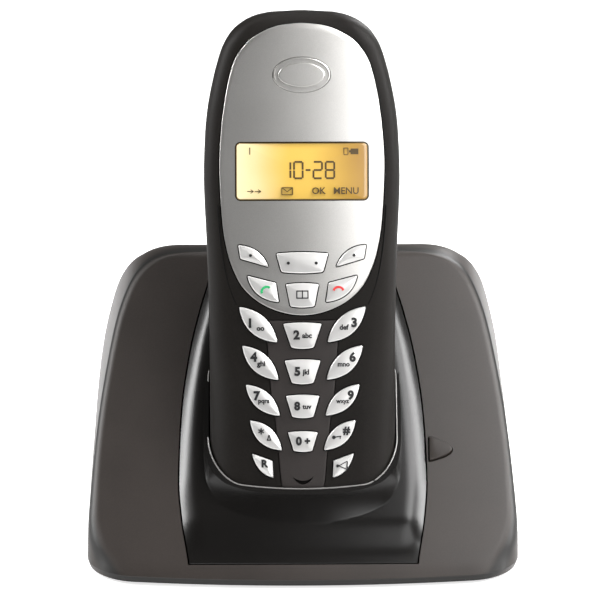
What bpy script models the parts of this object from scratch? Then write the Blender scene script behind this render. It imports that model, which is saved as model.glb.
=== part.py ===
"""Cordless phone with its charging base, modelled in metres with +Z up.

The base stands on four feet with its front towards -Y. The handset leans back in the cradle.
Lengths below are written in millimetres and turned into metres where a mesh is made.
Handset places use three coordinates: x across, t along its length from the bottom end, and
d into it from its front face. Front-view places use x and v, the height seen square on to
the leaning face.
"""

import math

import bmesh
import bpy
import numpy as np
from mathutils import Vector

MM = 0.001

# ---- driving dimensions, mm -------------------------------------------------------------
BASE_DEPTH = 110.0
BASE_HEIGHT = 70.0
BASE_HALF_WIDTH = 58.2
BASE_RIM_Z = 0.9
FRONT_WALL_HEIGHT = 4.0
FRONT_BOW = 5.0
PANEL_ANGLE = math.radians(42.6)
RIDGE_RADIUS = 6.0
BACK_WALL_HEIGHT = 20.0
BASE_WALL = 2.0
BOTTOM_COVER_Z = 1.6
BOTTOM_COVER_THICKNESS = 1.5

LEAN = math.radians(20.0)
HANDSET_CORNER_Y = 10.6
HANDSET_CORNER_Z = 12.0
HANDSET_LENGTH = 141.0
HANDSET_HALF_WIDTH = 26.5
HANDSET_DEPTH = 27.0
HANDSET_SPLIT = 11.0
HANDSET_WALL = 1.6
FACE_WALL = 2.6
BACK_EDGE_RADIUS = 8.0

POCKET_CLEARANCE = 0.45
TUB_WALL = 1.5
PLATE_THICKNESS = 2.6
LIP_HEIGHT = 22.3
LIP_FRONT_Y = 12.8
LIP_MERGE_Y = 54.0

GAP = 0.3
INLAY_DEPTH = 1.3
INLAY_THICKNESS = 1.0
KEY_PROUD = 1.1
KEY_BOTTOM = 2.9
KEY_TRAVEL = 0.7
KEY_CHAMFER = 0.5
WINDOW_HALF_WIDTH = 17.8
WINDOW_HALF_HEIGHT = 7.75
WINDOW_T = 97.1
EARPIECE_T = 123.0
EARPIECE_RADII = (7.9, 4.9)
GRILLE_RADII = (6.3, 3.25)

CELL_RADIUS = 5.1
CELL_LENGTH = 44.5
CELL_X = 7.0
CELL_D = 19.6
BAY_HALF_WIDTH = 17.0
BAY_BOTTOM_T = 40.7
BAY_FLOOR_D = 13.6
TRAY_WALL = 1.2
SPRING_LENGTH = 3.4
COVER_TRAVEL = 6.0
COVER_THICKNESS = 1.55

FOOT_RADIUS = 5.0
SCREW_X = 43.0
SCREW_Y = (16.0, 98.0)
SCREW_HEAD_RADIUS = 2.6
SCREW_RADIUS = 1.2
BOSS_RADIUS = 3.4
PAGING_V = 36.9
PAGING_FLAT_X = 34.3
PAGING_TIP_X = 40.5
PAGING_HALF_HEIGHT = 3.2
PAGING_PROUD = 0.6
PAGING_LENGTH = 4.0
PAGING_TRAVEL = 0.8
CONTACT_X = 7.0
CONTACT_D = 9.0
CONTACT_RADIUS = 1.2
CONTACT_LENGTH = 3.8
PAD_SIZE = (4.0, 3.0)
PAD_POCKET = 1.0
JACK_Z = 12.0
LINE_JACK = (-14.0, 12.0, 11.0)
POWER_JACK = (14.0, 10.0, 9.0)
JACK_LENGTH = 13.0
JACK_WALL = 1.5

SIN = math.sin(LEAN)
COS = math.cos(LEAN)
PANEL_SLOPE = math.tan(PANEL_ANGLE)
PANEL_DROP = BASE_WALL / math.cos(PANEL_ANGLE)
RIDGE_Z = BASE_HEIGHT - RIDGE_RADIUS
RIDGE_Y = 1.0 + (RIDGE_Z - FRONT_WALL_HEIGHT) / PANEL_SLOPE + RIDGE_RADIUS / math.sin(PANEL_ANGLE)


# ---- outlines ---------------------------------------------------------------------------
def smooth(points, value):
    """Monotone cubic through (place, size) points, so a curve never overshoots them."""
    places = np.array([p[0] for p in points], dtype=float)
    sizes = np.array([p[1] for p in points], dtype=float)
    steps = np.diff(places)
    slopes = np.diff(sizes) / steps
    inner = slopes[:-1] * slopes[1:]
    middle = np.where(inner > 0, 2 * inner / np.where(inner > 0, slopes[:-1] + slopes[1:], 1), 0)
    tangents = np.concatenate([[slopes[0]], middle, [slopes[-1]]])
    value = np.clip(value, places[0], places[-1])
    i = np.clip(np.searchsorted(places, value) - 1, 0, len(steps) - 1)
    s = (value - places[i]) / steps[i]
    rise = (3 - 2 * s) * s * s
    return float(sizes[i] + (sizes[i + 1] - sizes[i]) * rise
                 + steps[i] * s * (1 - s) * (tangents[i] * (1 - s) - tangents[i + 1] * s))


WIDTH_SCALE = BASE_HALF_WIDTH / 58.2
HEIGHT_SCALE = BASE_HEIGHT / 70.0
BASE_SIDE = [(0.0, 57.4), (3.0, 58.2), (22.0, 57.0), (41.5, 54.0), (54.6, 50.8),
             (62.8, 47.0), (66.6, 43.4), (69.1, 37.0), (69.8, 24.0), (70.0, 6.0)]
BASE_LEVELS = (0.9, 2.0, 3.5, 5.0, 8.0, 13.0, 22.0, 32.0, 42.0, 51.0, 58.0, 63.0, 66.3, 68.2, 69.3,
               69.85, 70.0)
FRONT_CORNER = [(0.0, 12.0), (4.0, 11.0), (14.0, 2.2), (70.0, 1.6)]

HANDSET_SCALE = HANDSET_HALF_WIDTH / 26.5
LENGTH_SCALE = HANDSET_LENGTH / 141.0
HANDSET_SIDE = [(0.0, 13.0), (0.8, 16.2), (2.6, 19.6), (5.0, 22.4), (8.5, 24.2), (15.0, 24.9),
                (47.0, 25.0), (77.0, 25.7), (96.4, 26.5), (113.6, 25.5), (126.5, 22.8),
                (132.9, 20.4), (137.2, 17.1), (139.4, 13.3), (140.6, 9.0), (141.0, 6.5)]
HANDSET_STATIONS = (0.0, 0.8, 2.6, 5.0, 8.5, 15.0, 30.0, 53.0, 75.0, 96.4, 113.6, 122.0, 129.0,
                    134.0, 137.2, 139.4, 140.5, 141.0)
HANDSET_BACK = [(0.0, 17.0), (1.2, 19.0), (5.0, 21.0), (30.0, 27.0), (97.0, 27.0), (118.0, 25.6),
                (131.0, 22.8), (138.0, 19.6), (141.0, 15.5)]
FACE_EDGE_RADIUS = [(0.0, 9.0), (30.0, 9.0), (60.0, 6.0), (141.0, 6.0)]
HANDSET_FRONT = [(0.0, 3.4), (1.2, 1.9), (5.0, 0.0), (131.0, 0.0), (137.0, 1.2), (139.6, 3.0),
                 (141.0, 6.0)]
INSERT_SIDE = [(7.0, 30.5), (10.5, 31.1), (18.8, 32.5), (28.5, 33.3), (37.5, 33.1), (49.0, 32.4),
               (64.0, 30.2), (74.7, 27.6), (82.3, 25.3)]
CUP_RIM = [(26.0, 70.0), (26.3, 60.0), (26.7, 46.0), (26.6, 40.0), (25.8, 34.0), (23.7, 30.4),
           (20.3, 27.8), (13.0, 25.8), (5.0, 25.2)]
CUP_FOOT = [(26.6, 70.0), (27.4, 60.0), (29.3, 41.0), (30.2, 29.5), (29.6, 23.0), (26.2, 18.8),
            (21.4, 15.3), (14.6, 12.9), (5.0, 11.9)]
FACEPLATE_SIDE = [(58.4, 2.0), (59.3, 5.9), (62.3, 12.3), (66.3, 16.4), (70.3, 18.3), (79.0, 20.8),
                  (99.0, 22.2), (116.0, 20.8), (126.0, 18.5), (132.0, 14.2), (134.8, 9.6),
                  (136.7, 3.0)]
STRIP_SIDE = [(12.0, 5.0), (21.0, 6.4), (30.0, 7.3), (38.7, 8.4), (51.0, 9.4), (57.2, 9.8)]


def front_y(z):
    """Front of the base at height z: a low wall, the sloping panel, then the rounded ridge."""
    if z < FRONT_WALL_HEIGHT:
        return 0.6 * max(0.0, (1.8 - z) / 0.9) ** 2 + max(0.0, z - 3.0)
    if z < RIDGE_Z + RIDGE_RADIUS * math.cos(PANEL_ANGLE):
        return 1.0 + (z - FRONT_WALL_HEIGHT) / PANEL_SLOPE
    return RIDGE_Y - math.sqrt(max(0.0, RIDGE_RADIUS ** 2 - (z - RIDGE_Z) ** 2))


def back_y(z):
    """Back of the base at height z: an upright wall, then an elliptical shoulder."""
    share = max(0.0, (z - BACK_WALL_HEIGHT) / (BASE_HEIGHT - BACK_WALL_HEIGHT))
    return RIDGE_Y + (BASE_DEPTH - RIDGE_Y) * math.sqrt(max(0.0, 1 - share ** 2))


def shoulder_z(y):
    """Height of the elliptical shoulder over a point behind the ridge."""
    share = (y - RIDGE_Y) / (BASE_DEPTH - RIDGE_Y)
    return BACK_WALL_HEIGHT + (BASE_HEIGHT - BACK_WALL_HEIGHT) * math.sqrt(1 - max(0.0, share) ** 2)


def base_half_width(z):
    """Half the base's width at height z."""
    return smooth(BASE_SIDE, z / HEIGHT_SCALE) * WIDTH_SCALE


def panel_z(x, y):
    """Height of the sloping panel over a point; it falls away to each side."""
    bow = FRONT_BOW * (x / BASE_HALF_WIDTH) ** 2
    return FRONT_WALL_HEIGHT + (y - 1.0 - bow) * PANEL_SLOPE


def plane_point(x, v, y0, z0, slope):
    """Point seen at (x, v) square on to the face, on a plane through (y0, z0)."""
    y = (v - (z0 - slope * y0) * COS) / (slope * COS + SIN)
    return Vector((x, y, z0 + slope * (y - y0)))


def panel_point(x, v, lift=0.0):
    """Point on the panel seen at (x, v), raised by lift."""
    base = plane_point(x, v, 1.0, FRONT_WALL_HEIGHT, PANEL_SLOPE)
    bow = FRONT_BOW * (x / BASE_HALF_WIDTH) ** 2
    drop = bow * PANEL_SLOPE
    base.y += drop * COS / (PANEL_SLOPE * COS + SIN)
    base.z = panel_z(x, base.y) + lift
    return base


def handset_point(x, t, d):
    """Handset coordinates to the base's."""
    return Vector((x, HANDSET_CORNER_Y + t * SIN + d * COS, HANDSET_CORNER_Z + t * COS - d * SIN))


def arc(cx, cy, rx, ry, start, end, count):
    """Points along an elliptical arc, angles in degrees."""
    angles = [math.radians(start + (end - start) * i / (count - 1)) for i in range(count)]
    return [(cx + rx * math.cos(a), cy + ry * math.sin(a)) for a in angles]


def bezier(a, control, b, count):
    """Inner points of a quadratic curve from a to b."""
    out = []
    for i in range(1, count):
        s = i / count
        out.append(tuple((1 - s) ** 2 * a[k] + 2 * s * (1 - s) * control[k] + s * s * b[k]
                         for k in (0, 1)))
    return out


def rounded_box(hx, hy, radius, cx=0.0, cy=0.0, count=4):
    """Rounded rectangle about (cx, cy)."""
    out = []
    for sx, sy, start in ((1, 1, 0), (-1, 1, 90), (-1, -1, 180), (1, -1, 270)):
        out += arc(cx + sx * (hx - radius), cy + sy * (hy - radius), radius, radius,
                   start, start + 90, count)
    return out


def side_outline(table, scale=1.0, inset=0.0):
    """Closed outline from a table of (place, half-width)."""
    last = len(table) - 1
    right = []
    for i, (place, half) in enumerate(table):
        shift = inset if i == 0 else -inset if i == last else 0.0
        right.append(((half - inset) * scale, place + shift))
    return right + [(-x, t) for x, t in reversed(right)]


def mirrored(outline):
    """The outline on the other side of the middle."""
    return [(-x, t) for x, t in reversed(outline)]


def grown(outline, gap):
    """Outline moved outwards by gap along each corner's bisector."""
    pts = [Vector(p) for p in outline]
    area = sum(a.x * b.y - b.x * a.y for a, b in zip(pts, pts[1:] + pts[:1]))
    turn = 1.0 if area > 0 else -1.0
    out = []
    for i, p in enumerate(pts):
        a = (p - pts[i - 1]).normalized()
        b = (pts[(i + 1) % len(pts)] - p).normalized()
        na = Vector((a.y, -a.x)) * turn
        nb = Vector((b.y, -b.x)) * turn
        bisector = (na + nb).normalized()
        out.append(tuple(p + bisector * gap / max(0.45, bisector.dot(na))))
    return out


# ---- meshes -----------------------------------------------------------------------------
def to_world(point):
    """Millimetres from the base's front to metres from the middle of its footprint."""
    return Vector((point[0], point[1] - BASE_DEPTH / 2, point[2])) * MM


def solid(name, loops, pivot=None):
    """Closed object lofted through loops of equal count, with flat ends."""
    origin = to_world(pivot) if pivot else Vector((0, 0, 0))
    mesh = bpy.data.meshes.new(name)
    bm = bmesh.new()
    rings = [[bm.verts.new(to_world(p) - origin) for p in loop] for loop in loops]
    for low, high in zip(rings, rings[1:]):
        for i in range(len(low)):
            j = (i + 1) % len(low)
            bm.faces.new((low[i], low[j], high[j], high[i]))
    bm.faces.new(rings[0])
    bm.faces.new(rings[-1])
    bmesh.ops.recalc_face_normals(bm, faces=bm.faces)
    bm.to_mesh(mesh)
    bm.free()
    obj = bpy.data.objects.new(name, mesh)
    obj.location = origin
    bpy.context.scene.collection.objects.link(obj)
    return obj


def grid_solid(name, top, low):
    """Closed object between two grids of points, with a wall of quads round the edge."""
    mesh = bpy.data.meshes.new(name)
    bm = bmesh.new()
    sheets = [[[bm.verts.new(to_world(p)) for p in row] for row in sheet] for sheet in (top, low)]
    for sheet in sheets:
        for row, after in zip(sheet, sheet[1:]):
            for i in range(len(row) - 1):
                bm.faces.new((row[i], row[i + 1], after[i + 1], after[i]))
    rims = []
    for sheet in sheets:
        rims.append(sheet[0] + [row[-1] for row in sheet[1:]] + sheet[-1][-2::-1]
                    + [row[0] for row in sheet[-2:0:-1]])
    for i in range(len(rims[0])):
        j = (i + 1) % len(rims[0])
        bm.faces.new((rims[0][i], rims[0][j], rims[1][j], rims[1][i]))
    bmesh.ops.recalc_face_normals(bm, faces=bm.faces)
    bm.to_mesh(mesh)
    bm.free()
    obj = bpy.data.objects.new(name, mesh)
    bpy.context.scene.collection.objects.link(obj)
    return obj


def face_prism(name, outline, d0, d1, chamfer=0.0, pivot=None):
    """Prism through the handset's face, with an optional chamfer at its proud end d0."""
    loops = []
    if chamfer:
        loops.append([handset_point(x, t, d0) for x, t in grown(outline, -chamfer)])
        d0 += chamfer
    loops.append([handset_point(x, t, d0) for x, t in outline])
    loops.append([handset_point(x, t, d1) for x, t in outline])
    return solid(name, loops, pivot)


def face_cylinder(name, x, t, d0, d1, radius, count=16):
    """Round piece standing along the handset's depth."""
    ring = arc(x, t, radius, radius, 0, 360, count + 1)[:-1]
    return face_prism(name, ring, d0, d1)


def along_cylinder(name, x, d, t0, t1, radius, count=12, pivot=None):
    """Round piece lying along the handset's length."""
    ring = arc(x, d, radius, radius, 0, 360, count + 1)[:-1]
    return solid(name, [[handset_point(px, t, pd) for px, pd in ring] for t in (t0, t1)], pivot)


def box(name, low, high):
    """Plain box between two corners."""
    (x0, y0, z0), (x1, y1, z1) = low, high
    ring = [(x0, y0), (x1, y0), (x1, y1), (x0, y1)]
    return solid(name, [[(x, y, z) for x, y in ring] for z in (z0, z1)])


def upright(name, outline, z0, z1):
    """Upright prism."""
    return solid(name, [[(x, y, z) for x, y in outline] for z in (z0, z1)])


def cutter(obj):
    """Hide a tool body from the finished model."""
    obj.hide_render = True
    obj.display_type = "WIRE"
    return obj


def boolean(obj, tool, operation="DIFFERENCE"):
    """Live exact Boolean between obj and a tool body."""
    mod = obj.modifiers.new(operation.title(), "BOOLEAN")
    mod.operation = operation
    mod.solver = "EXACT"
    mod.object = cutter(tool)


def joined(name, objects):
    """One tool body out of several separate ones."""
    mesh = bpy.data.meshes.new(name)
    bm = bmesh.new()
    for obj in objects:
        bm.from_mesh(obj.data)
        bpy.data.objects.remove(obj)
    bm.to_mesh(mesh)
    bm.free()
    obj = bpy.data.objects.new(name, mesh)
    bpy.context.scene.collection.objects.link(obj)
    return obj


def finish(obj, material, sharp=35.0):
    """Give a piece its material and shading."""
    obj.data.materials.append(material)
    if hasattr(obj.data, "shade_smooth"):
        obj.data.shade_smooth()
        obj.data.set_sharp_from_angle(angle=math.radians(sharp))
    return obj


def material(name, colour, roughness, metallic=0.0):
    """Principled material with one colour."""
    mat = bpy.data.materials.new(name)
    mat.use_nodes = True
    shader = mat.node_tree.nodes["Principled BSDF"]
    shader.inputs["Base Color"].default_value = (*colour, 1.0)
    shader.inputs["Roughness"].default_value = roughness
    shader.inputs["Metallic"].default_value = metallic
    return mat


# ---- base -------------------------------------------------------------------------------
def base_section(z, inset=0.0, lift=0.0):
    """Plan outline of the base at height z, from its front middle round to the right."""
    high = min(z + lift, BASE_HEIGHT)
    half = base_half_width(high) - inset
    front = max(front_y(high), front_y(z) + inset)
    back = max(back_y(high) - inset, front + 1.5)
    corner = min(smooth(FRONT_CORNER, z / HEIGHT_SCALE), half / 2, (back - front) / 3)
    corner = max(corner - inset, 0.5)
    rear = min(9.0, half / 2, (back - front) / 2.5)

    def bow(x):
        room = max(0.0, (back - front - 4.0))
        return min(FRONT_BOW * (x / BASE_HALF_WIDTH) ** 2, room)

    right = [(x, front + bow(x)) for x in (0.0, half * 0.3, half * 0.6)]
    right += [(x, y + bow(half - corner))
              for x, y in arc(half - corner, front + corner, corner, corner, -90, 0, 5)]
    right += arc(half - rear, back - rear, rear, rear, 0, 90, 5)
    left = [(-x, y) for x, y in reversed(right[1:])]
    return [(x, y, z) for x, y in right + left]


def insert_slab(name, lift, thickness=None, inset=0.0, floor=None):
    """Slab under the panel inside the insert's outline."""
    rows = len(INSERT_SIDE)
    columns = (-1.0, -0.7, -0.35, 0.0, 0.35, 0.7, 1.0)
    top = []
    for i, (v, half) in enumerate(INSERT_SIDE):
        seen = v + (inset if i == 0 else -inset if i == rows - 1 else 0.0)
        top.append([panel_point(c * (half - inset), seen, lift) for c in columns])
    low = [[Vector((p.x, p.y, p.z - thickness if floor is None else floor)) for p in row]
           for row in top]
    return grid_solid(name, top, low)


def handset_section(t, grow=0.0, face=0.0, count=5):
    """Loop round the handset at station t, grown outwards all round by grow."""
    place = min(max(t, 0.0), HANDSET_LENGTH) / LENGTH_SCALE
    half = smooth(HANDSET_SIDE, place) * HANDSET_SCALE + grow
    front = smooth(HANDSET_FRONT, place) - grow + face
    back = smooth(HANDSET_BACK, place) * HANDSET_DEPTH / 27.0 + grow
    room = min(half, (back - front) / 2) * 0.95
    rf = min(smooth(FACE_EDGE_RADIUS, place), room)
    rb = min(BACK_EDGE_RADIUS, room)
    ring = arc(half - rf, front + rf, rf, rf, -90, 0, count)
    ring += arc(half - rb, back - rb, rb, rb, 0, 90, count)
    ring += [(-x, d) for x, d in reversed(ring)]
    return [(x, t, d) for x, d in ring]


def handset_loft(name, grow=0.0, face=0.0, last=None):
    """The handset's whole form, grown or shrunk, up to station last."""
    stations = [s * LENGTH_SCALE for s in HANDSET_STATIONS]
    if last is not None:
        stations = [s for s in stations if s < last] + [last]
    loops = []
    for i, t in enumerate(stations):
        loop = handset_section(t, grow, face)
        end = -grow if i == 0 else grow if i == len(stations) - 1 and last is None else 0.0
        loops.append([handset_point(x, s + end, d) for x, s, d in loop])
    return solid(name, loops)


def cup_body():
    """Flared lip that stands on the panel round the handset's lower end."""
    slope = (panel_z(0, LIP_MERGE_Y) - LIP_HEIGHT) / (LIP_MERGE_Y - LIP_FRONT_Y)
    rim = [plane_point(x, v, LIP_FRONT_Y, LIP_HEIGHT, slope) for x, v in CUP_RIM]
    foot = [panel_point(x, v, -1.4) for x, v in CUP_FOOT]
    loops = []
    for right in (foot, rim):
        loops.append(right + [Vector((-p.x, p.y, p.z)) for p in reversed(right)])
    return solid("cup_tool", loops)


def paging_outline(gap=0.0):
    """D shape of the paging key as (x, v), with its curved side outwards."""
    curve = bezier((PAGING_FLAT_X, PAGING_V - PAGING_HALF_HEIGHT),
                   (2 * PAGING_TIP_X - PAGING_FLAT_X, PAGING_V),
                   (PAGING_FLAT_X, PAGING_V + PAGING_HALF_HEIGHT), 8)
    shape = [(PAGING_FLAT_X, PAGING_V - PAGING_HALF_HEIGHT)] + curve
    return grown(shape + [(PAGING_FLAT_X, PAGING_V + PAGING_HALF_HEIGHT)], gap)


def panel_prism(name, outline, proud, depth, pivot=None):
    """Prism through the panel along its normal."""
    normal = Vector((0, -math.sin(PANEL_ANGLE), math.cos(PANEL_ANGLE)))
    middle = panel_point(PAGING_FLAT_X, PAGING_V)
    offset = middle - plane_point(PAGING_FLAT_X, PAGING_V, 1.0, FRONT_WALL_HEIGHT, PANEL_SLOPE)
    flat = [plane_point(x, v, 1.0, FRONT_WALL_HEIGHT, PANEL_SLOPE) + offset for x, v in outline]
    return solid(name, [[p + normal * proud for p in flat], [p - normal * depth for p in flat]],
                 pivot)


def jack(name, size):
    """Socket housing with its mouth at the back wall."""
    x, width, height = size
    y0 = BASE_DEPTH - JACK_LENGTH
    body = box(name, (x - width / 2, y0, JACK_Z - height / 2),
               (x + width / 2, BASE_DEPTH - 0.2, JACK_Z + height / 2))
    inner = width / 2 - JACK_WALL
    rise = height / 2 - JACK_WALL
    mouth = box(name + "_mouth", (x - inner, y0 + JACK_WALL, JACK_Z - rise),
                (x + inner, BASE_DEPTH + 1, JACK_Z + rise))
    boolean(body, mouth)
    return body


def build_base(mats):
    """Casing, cradle, feet, screws, board and sockets."""
    cover = solid("base_top_cover", [base_section(z * HEIGHT_SCALE) for z in BASE_LEVELS])
    levels = [BASE_RIM_Z - 2.0] + [z * HEIGHT_SCALE for z in BASE_LEVELS[1:-1] if z < 67.0]
    hollow = solid("base_hollow", [base_section(z, BASE_WALL, PANEL_DROP) for z in levels])
    boolean(cover, hollow)
    bosses = []
    drills = []
    screw_places = [(sx * SCREW_X * WIDTH_SCALE, y) for sx in (-1, 1) for y in SCREW_Y]
    boss_floor = BOTTOM_COVER_Z + BOTTOM_COVER_THICKNESS + GAP
    for x, y in screw_places:
        ring = arc(x, y, BOSS_RADIUS, BOSS_RADIUS, 0, 360, 13)[:-1]
        roof = min(panel_z(x, y - BOSS_RADIUS), shoulder_z(y + BOSS_RADIUS)) - BASE_WALL / 2
        bosses.append(upright("boss", ring, boss_floor, roof))
        hole = arc(x, y, SCREW_RADIUS + GAP, SCREW_RADIUS + GAP, 0, 360, 9)[:-1]
        drills.append(upright("drill", hole, boss_floor - 1, min(roof - 2.5, 12.0)))
    boolean(cover, joined("base_bosses", bosses), "UNION")
    boolean(cover, joined("base_drills", drills))
    boolean(cover, insert_slab("insert_opening", 4.0, inset=-GAP, floor=2.4))
    boolean(cover, panel_prism("paging_hole", paging_outline(GAP), 3.0, 5.0))
    for name, (x, width, height) in (("line_gate", LINE_JACK), ("power_gate", POWER_JACK)):
        half = width / 2 + GAP
        boolean(cover, box(name, (x - half, BASE_DEPTH - 8, JACK_Z - height / 2 - GAP),
                           (x + half, BASE_DEPTH + 2, JACK_Z + height / 2 + GAP)))
    finish(cover, mats["graphite"])

    cover_top = BOTTOM_COVER_Z + BOTTOM_COVER_THICKNESS
    ring = [(x, y) for x, y, _ in base_section(cover_top, BASE_WALL + GAP, PANEL_DROP + 2 * GAP)]
    bottom = upright("base_bottom_cover", ring, BOTTOM_COVER_Z, cover_top)
    holes = []
    for i, (x, y) in enumerate(screw_places):
        hole = arc(x, y, SCREW_RADIUS + GAP, SCREW_RADIUS + GAP, 0, 360, 9)[:-1]
        holes.append(upright("hole", hole, 0, 5))
        head = [(x + px, y + py, z) for z in (BOTTOM_COVER_Z - 1.1, BOTTOM_COVER_Z - GAP)
                for px, py in arc(0, 0, SCREW_HEAD_RADIUS, SCREW_HEAD_RADIUS, 0, 360, 13)[:-1]]
        shank = [(x + px, y + py, z) for z in (BOTTOM_COVER_Z - GAP, boss_floor + 5.0)
                 for px, py in arc(0, 0, SCREW_RADIUS, SCREW_RADIUS, 0, 360, 13)[:-1]]
        screw = solid(f"base_screw_{i + 1}", [head[:12], head[12:], shank[:12], shank[12:]])
        finish(screw, mats["steel"])
        foot_y = y + (13.0 if y < BASE_DEPTH / 2 else -13.0)
        ring = arc(x, foot_y, FOOT_RADIUS, FOOT_RADIUS, 0, 360, 17)[:-1]
        finish(upright(f"foot_{i + 1}", ring, 0.0, BOTTOM_COVER_Z - GAP), mats["rubber"])
    boolean(bottom, joined("bottom_holes", holes))
    finish(bottom, mats["graphite"])

    cradle = insert_slab("cradle", 0.0, PLATE_THICKNESS)
    tub = handset_loft("tub_tool", POCKET_CLEARANCE + TUB_WALL, last=60.0)
    under = insert_slab("under_tool", -0.7, floor=-5.0, inset=1.3)
    boolean(tub, under, "INTERSECT")
    boolean(cradle, tub, "UNION")
    boolean(cradle, cup_body(), "UNION")
    boolean(cradle, handset_loft("pocket_tool", POCKET_CLEARANCE))
    holes = [along_cylinder("pin_hole", sx * CONTACT_X, CONTACT_D, -6.0, 3.0, CONTACT_RADIUS + GAP)
             for sx in (-1, 1)]
    boolean(cradle, joined("pin_holes", holes))
    finish(cradle, mats["gloss"])

    for side, sx in (("left", -1), ("right", 1)):
        top = -POCKET_CLEARANCE + 0.1
        pin = along_cylinder(f"charge_contact_{side}", sx * CONTACT_X, CONTACT_D, top - CONTACT_LENGTH,
                             top, CONTACT_RADIUS, pivot=handset_point(sx * CONTACT_X, top, CONTACT_D))
        finish(pin, mats["gold"])

    board_z = 6.0
    board = box("base_circuit_board", (-38, 62, board_z), (38, BASE_DEPTH - JACK_LENGTH - 1, board_z + 1.6))
    finish(board, mats["board"])
    finish(jack("line_jack", LINE_JACK), mats["dark"])
    finish(jack("power_jack", POWER_JACK), mats["dark"])

    key_middle = panel_point((PAGING_FLAT_X + PAGING_TIP_X) / 2, PAGING_V)
    key = panel_prism("paging_key", paging_outline(), PAGING_PROUD, PAGING_LENGTH, key_middle)
    finish(key, mats["graphite"])
    start = PAGING_LENGTH + PAGING_TRAVEL + GAP
    outline = rounded_box(2.6, 2.6, 0.4, (PAGING_FLAT_X + PAGING_TIP_X) / 2, PAGING_V, 2)
    switch = panel_prism("paging_switch", outline, -start, start + 3.5)
    finish(switch, mats["dark"])

    wire = bpy.data.curves.new("base_antenna", "CURVE")
    wire.dimensions = "3D"
    wire.bevel_depth = 0.6 * MM
    wire.bevel_resolution = 1
    wire.use_fill_caps = True
    spline = wire.splines.new("POLY")
    route = [(-30, 80, board_z + 2.2), (-30, 80, 30), (-29, 80.5, 32), (-26, 81, 33), (10, 82, 33)]
    spline.points.add(len(route) - 1)
    for point, place in zip(spline.points, route):
        point.co = (*to_world(place), 1)
    wire.materials.append(mats["steel"])
    bpy.context.scene.collection.objects.link(bpy.data.objects.new("base_antenna", wire))


# ---- handset ----------------------------------------------------------------------------
def leaf(top, low, upper, lower, count=6):
    """Lens between two tips, bulging by upper and lower."""
    across = Vector(low) - Vector(top)
    normal = Vector((-across.y, across.x)).normalized()
    middle = (Vector(top) + Vector(low)) / 2
    return ([top] + bezier(top, middle + normal * 2 * upper, low, count)
            + [low] + bezier(low, middle - normal * 2 * lower, top, count))


def wedge(top_t, top_half, low_t, low_half, crown=0.35):
    """Centre key, wide at the top, with slightly crowned ends."""
    return ([(-top_half, top_t)] + bezier((-top_half, top_t), (0, top_t + 2 * crown), (top_half, top_t), 4)
            + [(top_half, top_t), (low_half, low_t)]
            + bezier((low_half, low_t), (0, low_t - 2 * crown), (-low_half, low_t), 4)
            + [(-low_half, low_t)])


def key_outlines():
    """Outline of every key on the handset's face, as (x, t)."""
    leaves = {"1": ((-17.0, 60.7), (-6.7, 51.1), 2.5, 2.8), "4": ((-16.2, 50.3), (-6.4, 41.0), 2.45, 2.7),
              "7": ((-15.3, 39.8), (-6.1, 31.4), 2.3, 2.5), "star": ((-14.2, 30.2), (-5.6, 22.1), 2.2, 2.4)}
    right_names = {"1": "3", "4": "6", "7": "9", "star": "hash"}
    keys = {}
    for name, shape in leaves.items():
        keys[f"key_{name}"] = leaf(*shape)
        keys[f"key_{right_names[name]}"] = mirrored(keys[f"key_{name}"])
    for name, shape in {"2": (56.1, 5.2, 49.7, 3.0), "5": (46.2, 4.84, 40.2, 2.9),
                        "8": (36.7, 4.5, 31.1, 2.85), "0": (26.9, 4.0, 22.0, 2.5)}.items():
        keys[f"key_{name}"] = wedge(*shape)
    keys["directory_key"] = wedge(66.7, 4.4, 60.8, 3.25)
    keys["menu_rocker"] = wedge(75.0, 7.0, 70.0, 5.6)
    soft = ([(-17.2, 77.3)] + bezier((-17.2, 77.3), (-11.2, 77.0), (-9.1, 71.4), 5)
            + [(-9.1, 71.4), (-16.6, 73.6)])
    talk = ([(-14.8, 69.1), (-7.1, 67.1), (-6.3, 61.9)]
            + bezier((-6.3, 61.9), (-13.4, 62.6), (-14.8, 69.1), 5))
    small = ([(-13.7, 21.3), (-8.2, 19.3), (-8.0, 14.8)]
             + bezier((-8.0, 14.8), (-12.3, 15.6), (-13.7, 21.3), 4))
    keys.update({"soft_key_left": soft, "soft_key_right": mirrored(soft), "talk_key": talk,
                 "end_key": mirrored(talk), "key_r": small, "key_mute": mirrored(small)})
    return keys


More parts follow.
